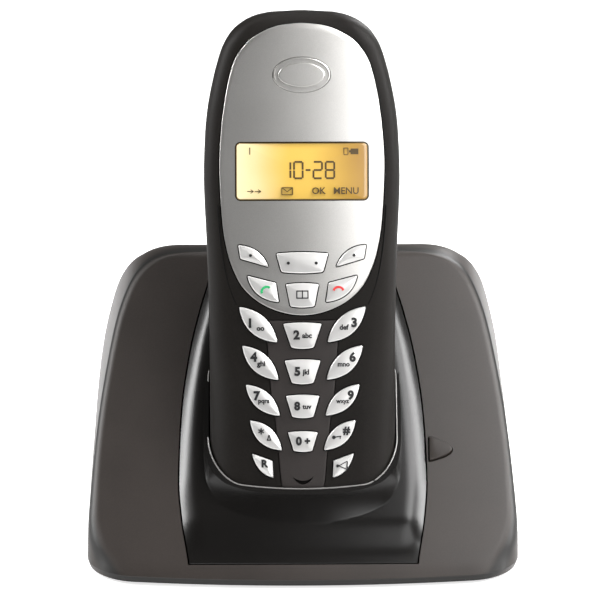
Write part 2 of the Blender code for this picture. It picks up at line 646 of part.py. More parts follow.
def build_handset(mats):
    """Shells, plate, display, keys, cells and what is inside."""
    keys = key_outlines()
    plate_outline = side_outline(FACEPLATE_SIDE, HANDSET_SCALE)
    strip_outline = side_outline(STRIP_SIDE)
    window = rounded_box(WINDOW_HALF_WIDTH, WINDOW_HALF_HEIGHT, 1.3, 0, WINDOW_T)
    earpiece = arc(0, EARPIECE_T, *EARPIECE_RADII, 0, 360, 25)[:-1]
    grille = arc(0, EARPIECE_T, *GRILLE_RADII, 0, 360, 25)[:-1]

    def key_holes(name, wanted):
        return joined(name, [face_prism("hole", grown(keys[k], GAP), -3, 8) for k in wanted])

    front = handset_loft("front_shell")
    boolean(front, handset_loft("front_hollow", -HANDSET_WALL, FACE_WALL - HANDSET_WALL))
    half = [(-40, -10), (40, -10), (40, HANDSET_LENGTH + 10), (-40, HANDSET_LENGTH + 10)]
    boolean(front, face_prism("front_trim", half, HANDSET_SPLIT - GAP / 2, 60))
    boolean(front, face_prism("plate_recess", grown(plate_outline, GAP), -3, INLAY_DEPTH))
    boolean(front, face_prism("strip_recess", grown(strip_outline, GAP), -3, INLAY_DEPTH))
    boolean(front, key_holes("face_key_holes", keys))
    view = rounded_box(WINDOW_HALF_WIDTH - 1.5, WINDOW_HALF_HEIGHT - 1.2, 0.6, 0, WINDOW_T, 2)
    boolean(front, joined("face_windows", [face_prism("view", view, -3, 8),
                                           face_cylinder("sound", 0, EARPIECE_T, -3, 8, 1.6, 10),
                                           face_cylinder("voice", 0, 10.6, -3, 8, 0.8, 8)]))
    pads = [(sx * CONTACT_X, CONTACT_D) for sx in (-1, 1)]
    pockets = []
    for x, d in pads:
        ring = rounded_box(PAD_SIZE[0] / 2 + GAP, PAD_SIZE[1] / 2 + GAP, 0.3, x, d, 2)
        loops = [[handset_point(px, t, pd) for px, pd in ring] for t in (-2, PAD_POCKET)]
        pockets.append(solid("pocket", loops))
    boolean(front, joined("pad_pockets", pockets))
    finish(front, mats["body"])
    for side, (x, d) in zip(("left", "right"), pads):
        ring = rounded_box(PAD_SIZE[0] / 2, PAD_SIZE[1] / 2, 0.3, x, d, 2)
        pad = solid(f"handset_contact_{side}", [[handset_point(px, t, pd) for px, pd in ring]
                                                for t in (0.05, PAD_POCKET - GAP)])
        finish(pad, mats["gold"])

    bay_top = BAY_BOTTOM_T + SPRING_LENGTH + CELL_LENGTH + 1.4
    back = handset_loft("back_shell")
    boolean(back, handset_loft("back_hollow", -HANDSET_WALL))
    boolean(back, face_prism("back_trim", half, -20, HANDSET_SPLIT + GAP / 2))
    middle = (BAY_BOTTOM_T + bay_top) / 2
    length = (bay_top - BAY_BOTTOM_T) / 2
    tray = rounded_box(BAY_HALF_WIDTH + 1.4, length + 1.4, 1.0, 0, middle, 2)
    tray_end = HANDSET_DEPTH - HANDSET_WALL / 2
    boolean(back, face_prism("bay_tray", tray, BAY_FLOOR_D - TRAY_WALL, tray_end), "UNION")
    bay = rounded_box(BAY_HALF_WIDTH, length, 0.6, 0, middle, 2)
    boolean(back, face_prism("bay_hollow", bay, BAY_FLOOR_D, HANDSET_DEPTH + 5))
    cover_half = BAY_HALF_WIDTH + 2.2
    cover_length = length + 2.4
    cover_d = HANDSET_DEPTH - COVER_THICKNESS
    opening = rounded_box(cover_half + GAP, cover_length + GAP + (COVER_TRAVEL + GAP) / 2, 2.0, 0,
                          middle - (COVER_TRAVEL + GAP) / 2)
    boolean(back, face_prism("cover_recess", opening, cover_d - GAP, HANDSET_DEPTH + 5))
    finish(back, mats["body"])
    cover_ring = rounded_box(cover_half, cover_length, 1.8, 0, middle)
    cover = face_prism("battery_cover", cover_ring, cover_d, HANDSET_DEPTH - 0.05,
                       pivot=handset_point(0, middle, cover_d))
    finish(cover, mats["body"])

    inlay_back = INLAY_DEPTH - GAP
    inlay_front = inlay_back - INLAY_THICKNESS
    plate = face_prism("faceplate", plate_outline, inlay_front, inlay_back)
    boolean(plate, joined("plate_windows", [face_prism("window", grown(window, GAP), -3, 8),
                                            face_prism("ear", grown(earpiece, 0.1), -3, 8)]))
    upper = ["soft_key_left", "soft_key_right", "menu_rocker", "talk_key", "end_key", "directory_key"]
    boolean(plate, key_holes("plate_key_holes", upper))
    finish(plate, mats["silver"])
    strip = face_prism("centre_strip", strip_outline, inlay_front, inlay_back)
    boolean(strip, key_holes("strip_key_holes", keys))
    smile = ([(-2.8, 14.9)] + bezier((-2.8, 14.9), (0, 10.9), (2.8, 14.9), 4) + [(2.8, 14.9)]
             + bezier((2.8, 14.9), (0, 12.9), (-2.8, 14.9), 4))
    boolean(strip, face_prism("smile", smile, -3, 8))
    finish(strip, mats["strip"])
    finish(face_prism("display_window", window, 0.1, inlay_back), mats["amber"])
    panel = rounded_box(WINDOW_HALF_WIDTH + 1.2, WINDOW_HALF_HEIGHT + 1.6, 0.8, 0, WINDOW_T, 2)
    finish(face_prism("display_panel", panel, FACE_WALL + GAP, FACE_WALL + 2.5), mats["amber"])
    finish(face_prism("earpiece_grille", grille, 0.1, inlay_back), mats["silver"])
    finish(face_cylinder("earpiece_speaker", 0, EARPIECE_T, FACE_WALL + GAP, 7.0, 8.0), mats["dark"])
    mat = rounded_box(18.4, 33.0, 3.0, 0, 46.4)
    mat_d = KEY_BOTTOM + KEY_TRAVEL + GAP
    finish(face_prism("keypad_mat", mat, mat_d, mat_d + 1.1), mats["rubber"])
    board_d = mat_d + 1.1 + GAP
    board = rounded_box(19.6, 47.5, 2.0, 0, 61.0, 3)
    finish(face_prism("handset_circuit_board", board, board_d, board_d + 1.2), mats["board"])
    finish(face_cylinder("microphone", 0, 10.0, FACE_WALL + GAP, 5.4, 2.6, 12), mats["dark"])
    finish(face_cylinder("ringer", 0, bay_top + 12.0, 14.0, 18.0, 7.0), mats["dark"])
    for side, sx in (("left", -1), ("right", 1)):
        start = BAY_BOTTOM_T + GAP + SPRING_LENGTH
        cell = along_cylinder(f"battery_cell_{side}", sx * CELL_X, CELL_D, start + GAP, start + CELL_LENGTH,
                              CELL_RADIUS, 16)
        finish(cell, mats["cell"])
        coil = bpy.data.curves.new(f"battery_spring_{side}", "CURVE")
        coil.dimensions = "3D"
        coil.bevel_depth = 0.3 * MM
        coil.bevel_resolution = 0
        coil.use_fill_caps = True
        spline = coil.splines.new("POLY")
        turns = 2.5
        steps = 20
        spline.points.add(steps)
        for i, point in enumerate(spline.points):
            angle = 2 * math.pi * turns * i / steps
            radius = 3.4 - 1.2 * i / steps
            along = BAY_BOTTOM_T + GAP + 0.4 + (SPRING_LENGTH - 0.9) * i / steps
            place = handset_point(sx * CELL_X + radius * math.cos(angle), along,
                                  CELL_D + radius * math.sin(angle))
            point.co = (*to_world(place), 1)
        coil.materials.append(mats["steel"])
        bpy.context.scene.collection.objects.link(bpy.data.objects.new(coil.name, coil))
    strap = [(-13, 129), (13, 129), (13, 130.6), (-13, 130.6)]
    finish(face_prism("handset_antenna", strap, 10.0, 10.8), mats["steel"])
    for name, outline in keys.items():
        middle = Vector((sum(x for x, _ in outline), sum(t for _, t in outline))) / len(outline)
        pivot = handset_point(0 if name == "menu_rocker" else middle.x, middle.y, 0.9)
        finish(face_prism(name, outline, -KEY_PROUD, KEY_BOTTOM, KEY_CHAMFER, pivot), mats["key"])


def main():
    """Clear the scene and build the phone."""
    for obj in list(bpy.data.objects):
        bpy.data.objects.remove(obj, do_unlink=True)
    mats = {
        "graphite": material("graphite", (0.045, 0.038, 0.034), 0.55),
        "gloss": material("gloss_black", (0.012, 0.011, 0.010), 0.12),
        "body": material("soft_black", (0.016, 0.015, 0.014), 0.5),
        "silver": material("satin_silver", (0.55, 0.54, 0.52), 0.35, 0.8),
        "strip": material("dark_strip", (0.035, 0.032, 0.031), 0.35),
        "key": material("pearl", (0.62, 0.61, 0.6), 0.3, 0.3),
        "amber": material("amber", (0.85, 0.6, 0.2), 0.2),
        "gold": material("gold", (0.8, 0.6, 0.25), 0.25, 1.0),
        "steel": material("steel", (0.6, 0.6, 0.6), 0.3, 1.0),
        "board": material("board_green", (0.03, 0.16, 0.07), 0.4),
        "rubber": material("rubber", (0.03, 0.03, 0.03), 0.8),
        "dark": material("dark_plastic", (0.02, 0.02, 0.02), 0.4),
        "cell": material("cell_wrap", (0.12, 0.3, 0.5), 0.3),
    }
    build_base(mats)
    build_handset(mats)


main()
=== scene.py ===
"""Looks of a cordless phone standing in its charging base.

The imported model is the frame: it says where every piece is and how it moves. This script lays
finely shaped pieces over it, dresses each one with a procedural finish, and sets a pale studio.

Sizes are in millimetres and are turned into metres as a mesh is made. The handset is described
by (x, t, d): across, along it from its bottom end, and into it from its front face. The front
view is described by (x, v), where v is the height seen square on to the handset's face.
"""

import logging
import math
from dataclasses import dataclass, field
from enum import Enum
from typing import Callable, Iterable, Optional, Sequence, Union

import bmesh
import bpy
import numpy as np
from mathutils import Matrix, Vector


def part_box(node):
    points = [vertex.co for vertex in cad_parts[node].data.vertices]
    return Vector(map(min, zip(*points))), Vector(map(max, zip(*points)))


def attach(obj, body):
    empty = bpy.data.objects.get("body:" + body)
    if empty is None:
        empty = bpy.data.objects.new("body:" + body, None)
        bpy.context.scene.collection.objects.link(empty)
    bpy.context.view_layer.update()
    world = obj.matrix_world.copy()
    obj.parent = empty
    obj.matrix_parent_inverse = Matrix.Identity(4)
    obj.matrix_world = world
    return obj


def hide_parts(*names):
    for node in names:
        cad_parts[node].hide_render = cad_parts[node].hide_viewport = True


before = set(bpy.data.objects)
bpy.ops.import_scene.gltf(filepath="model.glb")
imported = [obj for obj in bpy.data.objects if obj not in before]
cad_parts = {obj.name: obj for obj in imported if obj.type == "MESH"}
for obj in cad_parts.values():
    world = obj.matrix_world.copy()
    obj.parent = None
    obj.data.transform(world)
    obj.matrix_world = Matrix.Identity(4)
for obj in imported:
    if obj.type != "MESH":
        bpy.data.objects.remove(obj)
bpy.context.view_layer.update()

MM = 0.001
BASE_DEPTH = 110.0
BEFORE_FACE = -4.0    # depth at which cutting tools start, clear of the face
PAST_INLAY = 4.0      # depth at which they end when they pass right through an inlay
PAST_BACK = 40.0      # depth at which they end when they leave by the back

log = logging.getLogger("phone")
Array = np.ndarray
Table = Sequence[tuple[float, float]]


# ==== numbers and curves =====================================================================
def smooth(table: Table, values: Union[float, Array]) -> Array:
    """Monotone cubic through a table's points, so the curve never overshoots them.

    Args:
        table: (place, size) pairs in rising order of place.
        values: places to read.

    Returns:
        The size at each place.
    """
    places, sizes = np.asarray(table, dtype=float).T
    steps = np.diff(places)
    slopes = np.diff(sizes) / steps
    product = slopes[:-1] * slopes[1:]
    total = slopes[:-1] + slopes[1:]
    middle = np.where(product > 0, 2 * product / np.where(product > 0, total, 1), 0)
    tangents = np.concatenate([[slopes[0]], middle, [slopes[-1]]])
    values = np.clip(values, places[0], places[-1])
    i = np.clip(np.searchsorted(places, values, side="right") - 1, 0, len(steps) - 1)
    s = (values - places[i]) / steps[i]
    return (sizes[i] + (sizes[i + 1] - sizes[i]) * (3 - 2 * s) * s * s
            + steps[i] * s * (1 - s) * (tangents[i] * (1 - s) - tangents[i + 1] * s))


def stack(*columns: Union[float, Array]) -> Array:
    """Joins broadcast coordinate arrays along a new last axis."""
    return np.stack(np.broadcast_arrays(*columns), axis=-1)


def bezier(a: Sequence[float], control: Sequence[float], b: Sequence[float], count: int = 12) -> Array:
    """Inner points of the quadratic curve (1-s)^2 a + 2s(1-s) control + s^2 b."""
    s = np.linspace(0, 1, count + 1)[1:-1, None]
    a, control, b = (np.asarray(p, dtype=float) for p in (a, control, b))
    return (1 - s) ** 2 * a + 2 * s * (1 - s) * control + s * s * b


def arc(centre: Sequence[float], radii: Sequence[float], start: float, end: float, count: int) -> Array:
    """Points along an elliptical arc; angles are in degrees."""
    angle = np.radians(np.linspace(start, end, count))
    return stack(centre[0] + radii[0] * np.cos(angle), centre[1] + radii[1] * np.sin(angle))


def ellipse(centre: Sequence[float], radii: Sequence[float], count: int = 64) -> Array:
    """Closed ellipse without a repeated point."""
    return arc(centre, radii, 0, 360, count + 1)[:-1]


def rounded_box(hx: float, hy: float, radius: float, centre: Sequence[float] = (0, 0),
                count: int = 9) -> Array:
    """Closed rectangle with round corners about a centre, from its half-sizes."""
    corners = ((1, 1, 0), (-1, 1, 90), (-1, -1, 180), (1, -1, 270))
    return np.concatenate([arc((centre[0] + sx * (hx - radius), centre[1] + sy * (hy - radius)),
                               (radius, radius), turn, turn + 90, count) for sx, sy, turn in corners])


def resample(points: Array, count: int) -> Array:
    """Closed outline read again at equal steps along its length."""
    loop = np.vstack([points, points[:1]])
    run = np.concatenate([[0], np.cumsum(np.linalg.norm(np.diff(loop, axis=0), axis=1))])
    places = np.linspace(0, run[-1], count, endpoint=False)
    return stack(*(np.interp(places, run, loop[:, k]) for k in range(loop.shape[1])))


def soften(points: Array, count: int, passes: int = 6, dense: int = 240) -> Array:
    """Closed outline with its corners rounded by averaging each point with its neighbours."""
    dense_points = resample(points, dense)
    for _ in range(passes):
        dense_points = (np.roll(dense_points, 1, 0) + 2 * dense_points + np.roll(dense_points, -1, 0)) / 4
    return resample(dense_points, count)


def offset(points: Array, gap: float) -> Array:
    """Closed outline moved outwards by gap along its normals."""
    along = np.roll(points, -1, 0) - np.roll(points, 1, 0)
    area = np.sum(points[:, 0] * np.roll(points[:, 1], -1) - points[:, 1] * np.roll(points[:, 0], -1))
    normal = stack(along[:, 1], -along[:, 0]) * np.sign(area)
    return points + gap * normal / np.maximum(np.linalg.norm(normal, axis=1, keepdims=True), 1e-9)


def side_outline(table: Table, steps: int = 48) -> Array:
    """Closed outline, the same on both sides, from a table of (place, half-width)."""
    first, last = table[0][0], table[-1][0]
    places = first + (last - first) * (1 - np.cos(np.linspace(0, math.pi, steps))) / 2
    half = smooth(table, places)
    return np.vstack([stack(half, places), stack(-half, places)[::-1]])


def mirrored(points: Array) -> Array:
    """The outline on the other side of the middle."""
    return (points * (-1, 1))[::-1]


# ==== places =================================================================================
@dataclass(frozen=True)
class Handset:
    """The handset's own frame and outer form.

    Its outline is half-width against t; its front and back are depths against t.
    """

    lean: float = math.radians(20)
    corner_y: float = 10.6
    corner_z: float = 12.0
    length: float = 141.0
    split: float = 11.0
    crown: float = 1.25
    crown_half: float = 22.0
    crown_depth: float = 9.0
    depth: float = 27.0
    sides: Table = ((0, 12.6), (0.8, 16.0), (2.6, 19.4), (5.0, 22.2), (8.5, 24.0), (15, 24.9), (47, 25.0),
                    (63, 25.25), (77, 25.7), (96.4, 26.45), (107.1, 26.1), (113.6, 25.5), (122.2, 23.9),
                    (126.5, 22.8), (130.8, 21.4), (135.1, 18.9), (137.8, 15.9), (139.6, 12.4),
                    (140.5, 8.8), (140.9, 5.0), (141.0, 1.0))
    back: Table = ((0, 17.0), (1.2, 19.0), (5, 21.0), (30, 26.9), (97, 26.9), (118, 25.5), (131, 22.8),
                   (138, 19.0), (140.4, 15.6), (141, 11.4))
    front: Table = ((0, 3.4), (1.2, 1.9), (5, 0.0), (131, 0.0), (136, 0.9), (139, 3.0), (140.4, 5.6),
                    (141, 10.6))
    face_radius: Table = ((0, 9.0), (30, 9.0), (60, 6.0), (100, 5.0), (141, 5.0))
    back_radius: float = 9.0

    def place(self, x: Array, t: Array, d: Array) -> Array:
        """World metres of handset coordinates, with the face crowned across its width.

        The crown sets a point back by crown * (x / crown_half)^2, fading out at crown_depth.

        Args:
            x: across, from the middle.
            t: along, from the bottom end.
            d: depth below the flat face.

        Returns:
            The (..., 3) places.
        """
        x, t, d = np.broadcast_arrays(np.asarray(x, float), t, d)
        fade = np.clip(1 - np.maximum(d, 0) / self.crown_depth, 0, 1)
        d = d + self.crown * (x / self.crown_half) ** 2 * fade
        y = self.corner_y + t * math.sin(self.lean) + d * math.cos(self.lean) - BASE_DEPTH / 2
        z = self.corner_z + t * math.cos(self.lean) - d * math.sin(self.lean)
        return stack(x, y, z) * MM

    def flat(self, outline: Array, d: Union[float, Array]) -> Array:
        """World metres of a face outline at depth d."""
        return self.place(outline[..., 0], outline[..., 1], d)

    def stations(self, count: int) -> Array:
        """Places along the length, closer together towards the ends."""
        u = np.linspace(0, 1, count)
        return self.length * (0.35 * u + 0.65 * (1 - np.cos(math.pi * u)) / 2)


@dataclass(frozen=True)
class Slope:
    """The base's sloping panel: a plane that rises towards the back and bows at the front."""

    angle: float = math.radians(42.6)
    wall: float = 4.0
    bow: float = 5.0
    half_width: float = 58.2
    lean: float = math.radians(20)

    def z(self, x: Array, y: Array) -> Array:
        """Height of the panel over (x, y)."""
        return self.wall + (y - 1 - self.bow * (x / self.half_width) ** 2) * math.tan(self.angle)

    def point(self, x: Array, v: Array, lift: Union[float, Array] = 0.0) -> Array:
        """Panel point seen at (x, v), raised by lift, in millimetres from the base's front."""
        rise, sin, cos = math.tan(self.angle), math.sin(self.lean), math.cos(self.lean)
        shift = 1 + self.bow * (x / self.half_width) ** 2
        y = (v - (self.wall - rise * shift) * cos) / (rise * cos + sin)
        return stack(x, y, self.z(x, y) + lift)


HANDSET = Handset()
SLOPE = Slope()


def to_world(points: Array) -> Array:
    """Millimetres from the base's front middle to metres in the model's frame."""
    return (np.asarray(points, float) - (0, BASE_DEPTH / 2, 0)) * MM


# ==== meshes =================================================================================
def grid_faces(rows: int, columns: int, wrap: bool, start: int = 0) -> Array:
    """Quads of a grid of points counted row by row; wrap joins the last column to the first."""
    i, j = np.meshgrid(np.arange(rows - 1), np.arange(columns if wrap else columns - 1), indexing="ij")
    k = (j + 1) % columns
    quads = stack(i * columns + j, i * columns + k, (i + 1) * columns + k, (i + 1) * columns + j)
    return quads.reshape(-1, 4) + start


def make_object(name: str, points: Array, faces: Iterable[Sequence[int]],
                sharp: float = 32.0) -> bpy.types.Object:
    """Mesh object at the origin, shaded smooth, with its faces turned outwards.

    Args:
        name: the piece's name.
        points: (n, 3) places in metres.
        faces: point numbers of each face.
        sharp: edges that turn by more than this many degrees stay crisp.

    Returns:
        The new object, linked to the scene.
    """
    mesh = bpy.data.meshes.new(name)
    mesh.from_pydata(points.reshape(-1, 3).tolist(), [], [list(map(int, f)) for f in faces])
    obj = bpy.data.objects.new(name, mesh)
    bpy.context.scene.collection.objects.link(obj)
    tidy_normals(mesh)
    shade(mesh, sharp)
    return obj


def tidy_normals(mesh: bpy.types.Mesh) -> None:
    """Turns a closed mesh's faces outwards by the sign of its volume.

    Args:
        mesh: the mesh, changed in place.
    """
    bm = bmesh.new()
    bm.from_mesh(mesh)
    bmesh.ops.recalc_face_normals(bm, faces=bm.faces)
    if bm.calc_volume(signed=True) < 0:
        bmesh.ops.reverse_faces(bm, faces=bm.faces)
    bm.to_mesh(mesh)
    bm.free()


def shade(mesh: bpy.types.Mesh, sharp: float) -> None:
    """Smooth shading with crisp edges past an angle in degrees."""
    mesh.shade_smooth()
    mesh.set_sharp_from_angle(angle=math.radians(sharp))


def loft(name: str, rings: Array, sharp: float = 32.0) -> bpy.types.Object:
    """Closed solid through an array of rings (rows, points, 3), with a flat face at each end."""
    rows, columns = rings.shape[:2]
    faces = grid_faces(rows, columns, wrap=True).tolist()
    faces += [list(range(columns)), list(range((rows - 1) * columns, rows * columns))]
    return make_object(name, rings, faces, sharp)


def slab(name: str, top: Array, low: Array, sharp: float = 32.0) -> bpy.types.Object:
    """Closed solid between two grids of points, walled round their common edge.

    Args:
        name: the piece's name.
        top: (rows, columns, 3) places of one skin, in metres.
        low: places of the other skin, in the same order.
        sharp: edges that turn by more than this many degrees stay crisp.

    Returns:
        The solid.
    """
    rows, columns = top.shape[:2]
    size = rows * columns
    number = np.arange(size).reshape(rows, columns)
    rim = np.concatenate([number[0], number[1:, -1], number[-1, -2::-1], number[-2:0:-1, 0]])
    after = np.roll(rim, -1)
    faces = np.concatenate([grid_faces(rows, columns, False), grid_faces(rows, columns, False, size),
                            stack(rim, after, after + size, rim + size)])
    return make_object(name, np.concatenate([top.reshape(-1, 3), low.reshape(-1, 3)]), faces, sharp)


def ribbon(name: str, path: Array, radius: float, sides: int = 8) -> bpy.types.Object:
    """Round wire along an open path: a ring across each point's own tangent.

    Each ring is path + radius (across cos + other sin), where across and other are square to
    the tangent and to each other.

    Args:
        name: the piece's name.
        path: (n, 3) places in metres.
        radius: the wire's radius in metres.
        sides: points round each ring.

    Returns:
        The wire as a closed solid.
    """
    tangent = np.gradient(path, axis=0)
    tangent /= np.linalg.norm(tangent, axis=1, keepdims=True)
    helper = np.where(np.abs(tangent[:, :1]) < 0.8, (1.0, 0, 0), (0, 1.0, 0))
    across = np.cross(tangent, helper)
    across /= np.linalg.norm(across, axis=1, keepdims=True)
    other = np.cross(tangent, across)
    angle = np.linspace(0, 2 * math.pi, sides, endpoint=False)[None, :, None]
    rings = path[:, None] + radius * (across[:, None] * np.cos(angle) + other[:, None] * np.sin(angle))
    return loft(name, rings, 50)


def face_prism(name: str, outline: Array, low: float, high: float, bevel: float = 0.0,
               sharp: float = 32.0) -> bpy.types.Object:
    """Prism through the handset's face, its proud edge rounded as a quarter circle.

    Args:
        name: the piece's name.
        outline: (n, 2) points (x, t) of its edge.
        low: depth of its outer end.
        high: depth of its inner end.
        bevel: radius of the rounded edge, or 0 for a crisp one.
        sharp: edges that turn by more than this many degrees stay crisp.

    Returns:
        The prism.
    """
    angle = np.linspace(0, math.pi / 2, 5) if bevel else np.array([0.0])
    inset = bevel * (1 - np.sin(angle))
    depth = low + bevel * (1 - np.cos(angle))
    rings = [HANDSET.flat(offset(outline, -i), d) for i, d in zip(inset, depth)]
    rings.append(HANDSET.flat(outline, high))
    return loft(name, np.array(rings), sharp)


def stroke(a: Sequence[float], b: Sequence[float], width: float, low: float,
           high: float) -> bpy.types.Object:
    """Straight bar on the handset's face.

    Args:
        a: (x, t) of one end.
        b: (x, t) of the other.
        width: the bar's width.
        low: depth of its outer face.
        high: depth of its inner face.

    Returns:
        The bar.
    """
    a, b = np.array(a, dtype=float), np.array(b, dtype=float)
    along = (b - a) / np.linalg.norm(b - a)
    side = np.array([-along[1], along[0]]) * width / 2
    return face_prism("stroke", np.array([a - side, b - side, b + side, a + side]), low, high)


def carve(obj: bpy.types.Object, tools: Sequence[bpy.types.Object], operation: str = "DIFFERENCE",
          sharp: float = 32.0) -> bpy.types.Object:
    """Cuts tool bodies out of a piece, joins them to it or keeps what they share.

    Args:
        obj: the piece, changed in place.
        tools: closed bodies, removed once they have been used.
        operation: DIFFERENCE, UNION or INTERSECT.
        sharp: edges that turn by more than this many degrees stay crisp.

    Returns:
        The piece.
    """
    for tool in tools:
        cut = obj.modifiers.new("carve", "BOOLEAN")
        cut.operation = operation
        cut.solver = "EXACT"
        cut.object = tool
    graph = bpy.context.evaluated_depsgraph_get()
    mesh = bpy.data.meshes.new_from_object(obj.evaluated_get(graph))
    obj.modifiers.clear()
    obj.data = mesh
    for tool in tools:
        bpy.data.objects.remove(tool)
    shade(mesh, sharp)
    return obj


def joined(name: str, objects: Sequence[bpy.types.Object], sharp: float = 32.0) -> bpy.types.Object:
    """One object out of several separate ones.

    Args:
        name: the new piece's name.
        objects: the pieces, removed once they have been joined.
        sharp: edges that turn by more than this many degrees stay crisp.

    Returns:
        The joined object.
    """
    points, faces, start = [], [], 0
    for obj in objects:
        count = len(obj.data.vertices)
        places = np.empty(count * 3)
        obj.data.vertices.foreach_get("co", places)
        points.append(places.reshape(-1, 3))
        faces += [[start + k for k in polygon.vertices] for polygon in obj.data.polygons]
        start += count
        bpy.data.objects.remove(obj)
    mesh = bpy.data.meshes.new(name)
    mesh.from_pydata(np.concatenate(points).tolist(), [], faces)
    obj = bpy.data.objects.new(name, mesh)
    bpy.context.scene.collection.objects.link(obj)
    shade(mesh, sharp)
    return obj


# ==== finishes ===============================================================================
Number = Union[float, "Value"]
Colour = tuple[float, float, float]
Tone = Union[Colour, "Value", bpy.types.NodeSocket]


class Value:
    """A number socket that takes part in Python arithmetic; each operation adds a Math node."""

    def __init__(self, graph: "Graph", socket: bpy.types.NodeSocket) -> None:
        """Wraps a socket of the graph."""
        self.graph, self.socket = graph, socket

    def _math(self, operation: str, first: Number, second: Number = 0.0) -> "Value":
        """One Math node on two numbers or values."""
        node = self.graph.node("Math", {"operation": operation}, [first, second])
        return Value(self.graph, node.outputs[0])

    def __add__(self, other: Number) -> "Value":
        """self + other."""
        return self._math("ADD", self, other)

    def __sub__(self, other: Number) -> "Value":
        """self - other."""
        return self._math("SUBTRACT", self, other)

    def __rsub__(self, other: Number) -> "Value":
        """other - self."""
        return self._math("SUBTRACT", other, self)

    def __mul__(self, other: Number) -> "Value":
        """self * other."""
        return self._math("MULTIPLY", self, other)

    __radd__ = __add__
    __rmul__ = __mul__

    def __truediv__(self, other: Number) -> "Value":
        """self / other."""
        return self._math("DIVIDE", self, other)

    def __pow__(self, other: Number) -> "Value":
        """self to the power other."""
        return self._math("POWER", self, other)

    def ramp(self, low: float, high: float) -> "Value":
        """Smooth step from 0 at low to 1 at high."""
        node = self.graph.node("MapRange", {"interpolation_type": "SMOOTHSTEP"}, [self, low, high, 0.0, 1.0])
        return Value(self.graph, node.outputs[0])


class Graph:
    """The node tree of one material, with a Principled shader to feed."""

    def __init__(self, name: str, material: Optional[bpy.types.Material] = None,
                 **constants: Union[float, Sequence[float]]) -> None:
        """Makes the material, or takes up one that is already made.

        Args:
            name: the new material's name.
            material: a made material whose nodes are added to.
            **constants: values that go straight onto the shader's sockets.
        """
        self.material = material or bpy.data.materials.new(name)
        self.material.use_nodes = True
        self.tree = self.material.node_tree
        self.shader = self.tree.nodes["Principled BSDF"]
        self.coords = self.node("TexCoord").outputs["Object"]
        for key, value in constants.items():
            self.shader.inputs[key.replace("_", " ").title().replace("Ior", "IOR")].default_value = value

    def node(self, kind: str, settings: Optional[dict] = None,
             values: Union[Sequence, dict, None] = None) -> bpy.types.Node:
        """Any node, from its type, its settings and the values or links of its sockets.

        Args:
            kind: node type without its ShaderNode prefix.
            settings: attributes set before the sockets are.
            values: numbers, sockets or Values, by order or by socket name; None leaves one alone.

        Returns:
            The node.
        """
        node = self.tree.nodes.new("ShaderNode" + kind)
        for key, value in (settings or {}).items():
            setattr(node, key, value)
        pairs = values.items() if isinstance(values, dict) else enumerate(values or [])
        for key, value in pairs:
            if isinstance(value, Value):
                value = value.socket
            if isinstance(value, bpy.types.NodeSocket):
                self.tree.links.new(value, node.inputs[key])
            elif value is not None:
                node.inputs[key].default_value = value
        return node

    def noise(self, scale: float, detail: float = 2.0, roughness: float = 0.5,
              stretch: Sequence[float] = (1, 1, 1)) -> Value:
        """Fractal noise on the piece's own coordinates, scale in features per metre."""
        mapped = self.node("Mapping", {}, {"Vector": self.coords, "Scale": stretch})
        node = self.node("TexNoise", {}, {"Vector": mapped.outputs[0], "Scale": scale, "Detail": detail,
                                          "Roughness": roughness})
        return Value(self, node.outputs[0])

    def axis(self, name: str) -> Value:
        """One of the piece's own coordinates in metres."""
        return Value(self, self.node("SeparateXYZ", {}, [self.coords]).outputs[name])

    def mix(self, share: Number, first: Tone, second: Tone) -> bpy.types.NodeSocket:
        """Colour between two others.

        Args:
            share: 0 gives the first and 1 the second.
            first: a colour, a value or a socket.
            second: likewise.

        Returns:
            The mixed colour's socket.
        """
        node = self.node("Mix", {"data_type": "RGBA"})
        for index, value in ((0, share), (6, first), (7, second)):
            if isinstance(value, Value):
                value = value.socket
            if isinstance(value, bpy.types.NodeSocket):
                self.tree.links.new(value, node.inputs[index])
            else:
                node.inputs[index].default_value = (*value, 1) if isinstance(value, tuple) else value
        return node.outputs[2]

    def feed(self, socket: str, value: Union[Value, bpy.types.NodeSocket]) -> None:
        """Links a varying value to one of the shader's sockets."""
        self.tree.links.new(value.socket if isinstance(value, Value) else value, self.shader.inputs[socket])

    def bump(self, height: Value, strength: float, distance: float) -> None:
        """Raises the surface by height, with distance in metres for a height of 1."""
        node = self.node("Bump", {}, {"Strength": strength, "Distance": distance, "Height": height})
        self.feed("Normal", node.outputs[0])


@dataclass(frozen=True)
class Moulding:
    """Moulded plastic: a tone that drifts slightly, spark-eroded grain, and gloss that varies."""

    name: str
    colour: Colour
    roughness: float
    drift: float = 0.12
    grain: float = 0.0
    grain_scale: float = 2600.0
    coat: float = 0.0
    specular: float = 0.5

    def make(self) -> bpy.types.Material:
        """Builds the material: base tone by low noise, grain by fine noise, sheen by both.

        Returns:
            The material.
        """
        g = Graph(self.name, specular_ior_level=self.specular, coat_weight=self.coat, coat_roughness=0.04)
        low = g.noise(38.0, 3.0)
        fine = g.noise(self.grain_scale, 2.0, 0.6)
        darker = tuple(c * (1 - self.drift) for c in self.colour)
        lighter = tuple(c * (1 + self.drift) for c in self.colour)
        speck = (low * 0.55 + fine * 0.45).ramp(0.32, 0.68)
        g.feed("Base Color", g.mix(speck, darker, lighter))
        sheen = low * (0.12 * self.roughness) + fine * (0.1 * self.roughness)
        g.feed("Roughness", sheen + 0.89 * self.roughness)
        if self.grain:
            g.bump(fine, 0.35, self.grain * MM)
        return g.material


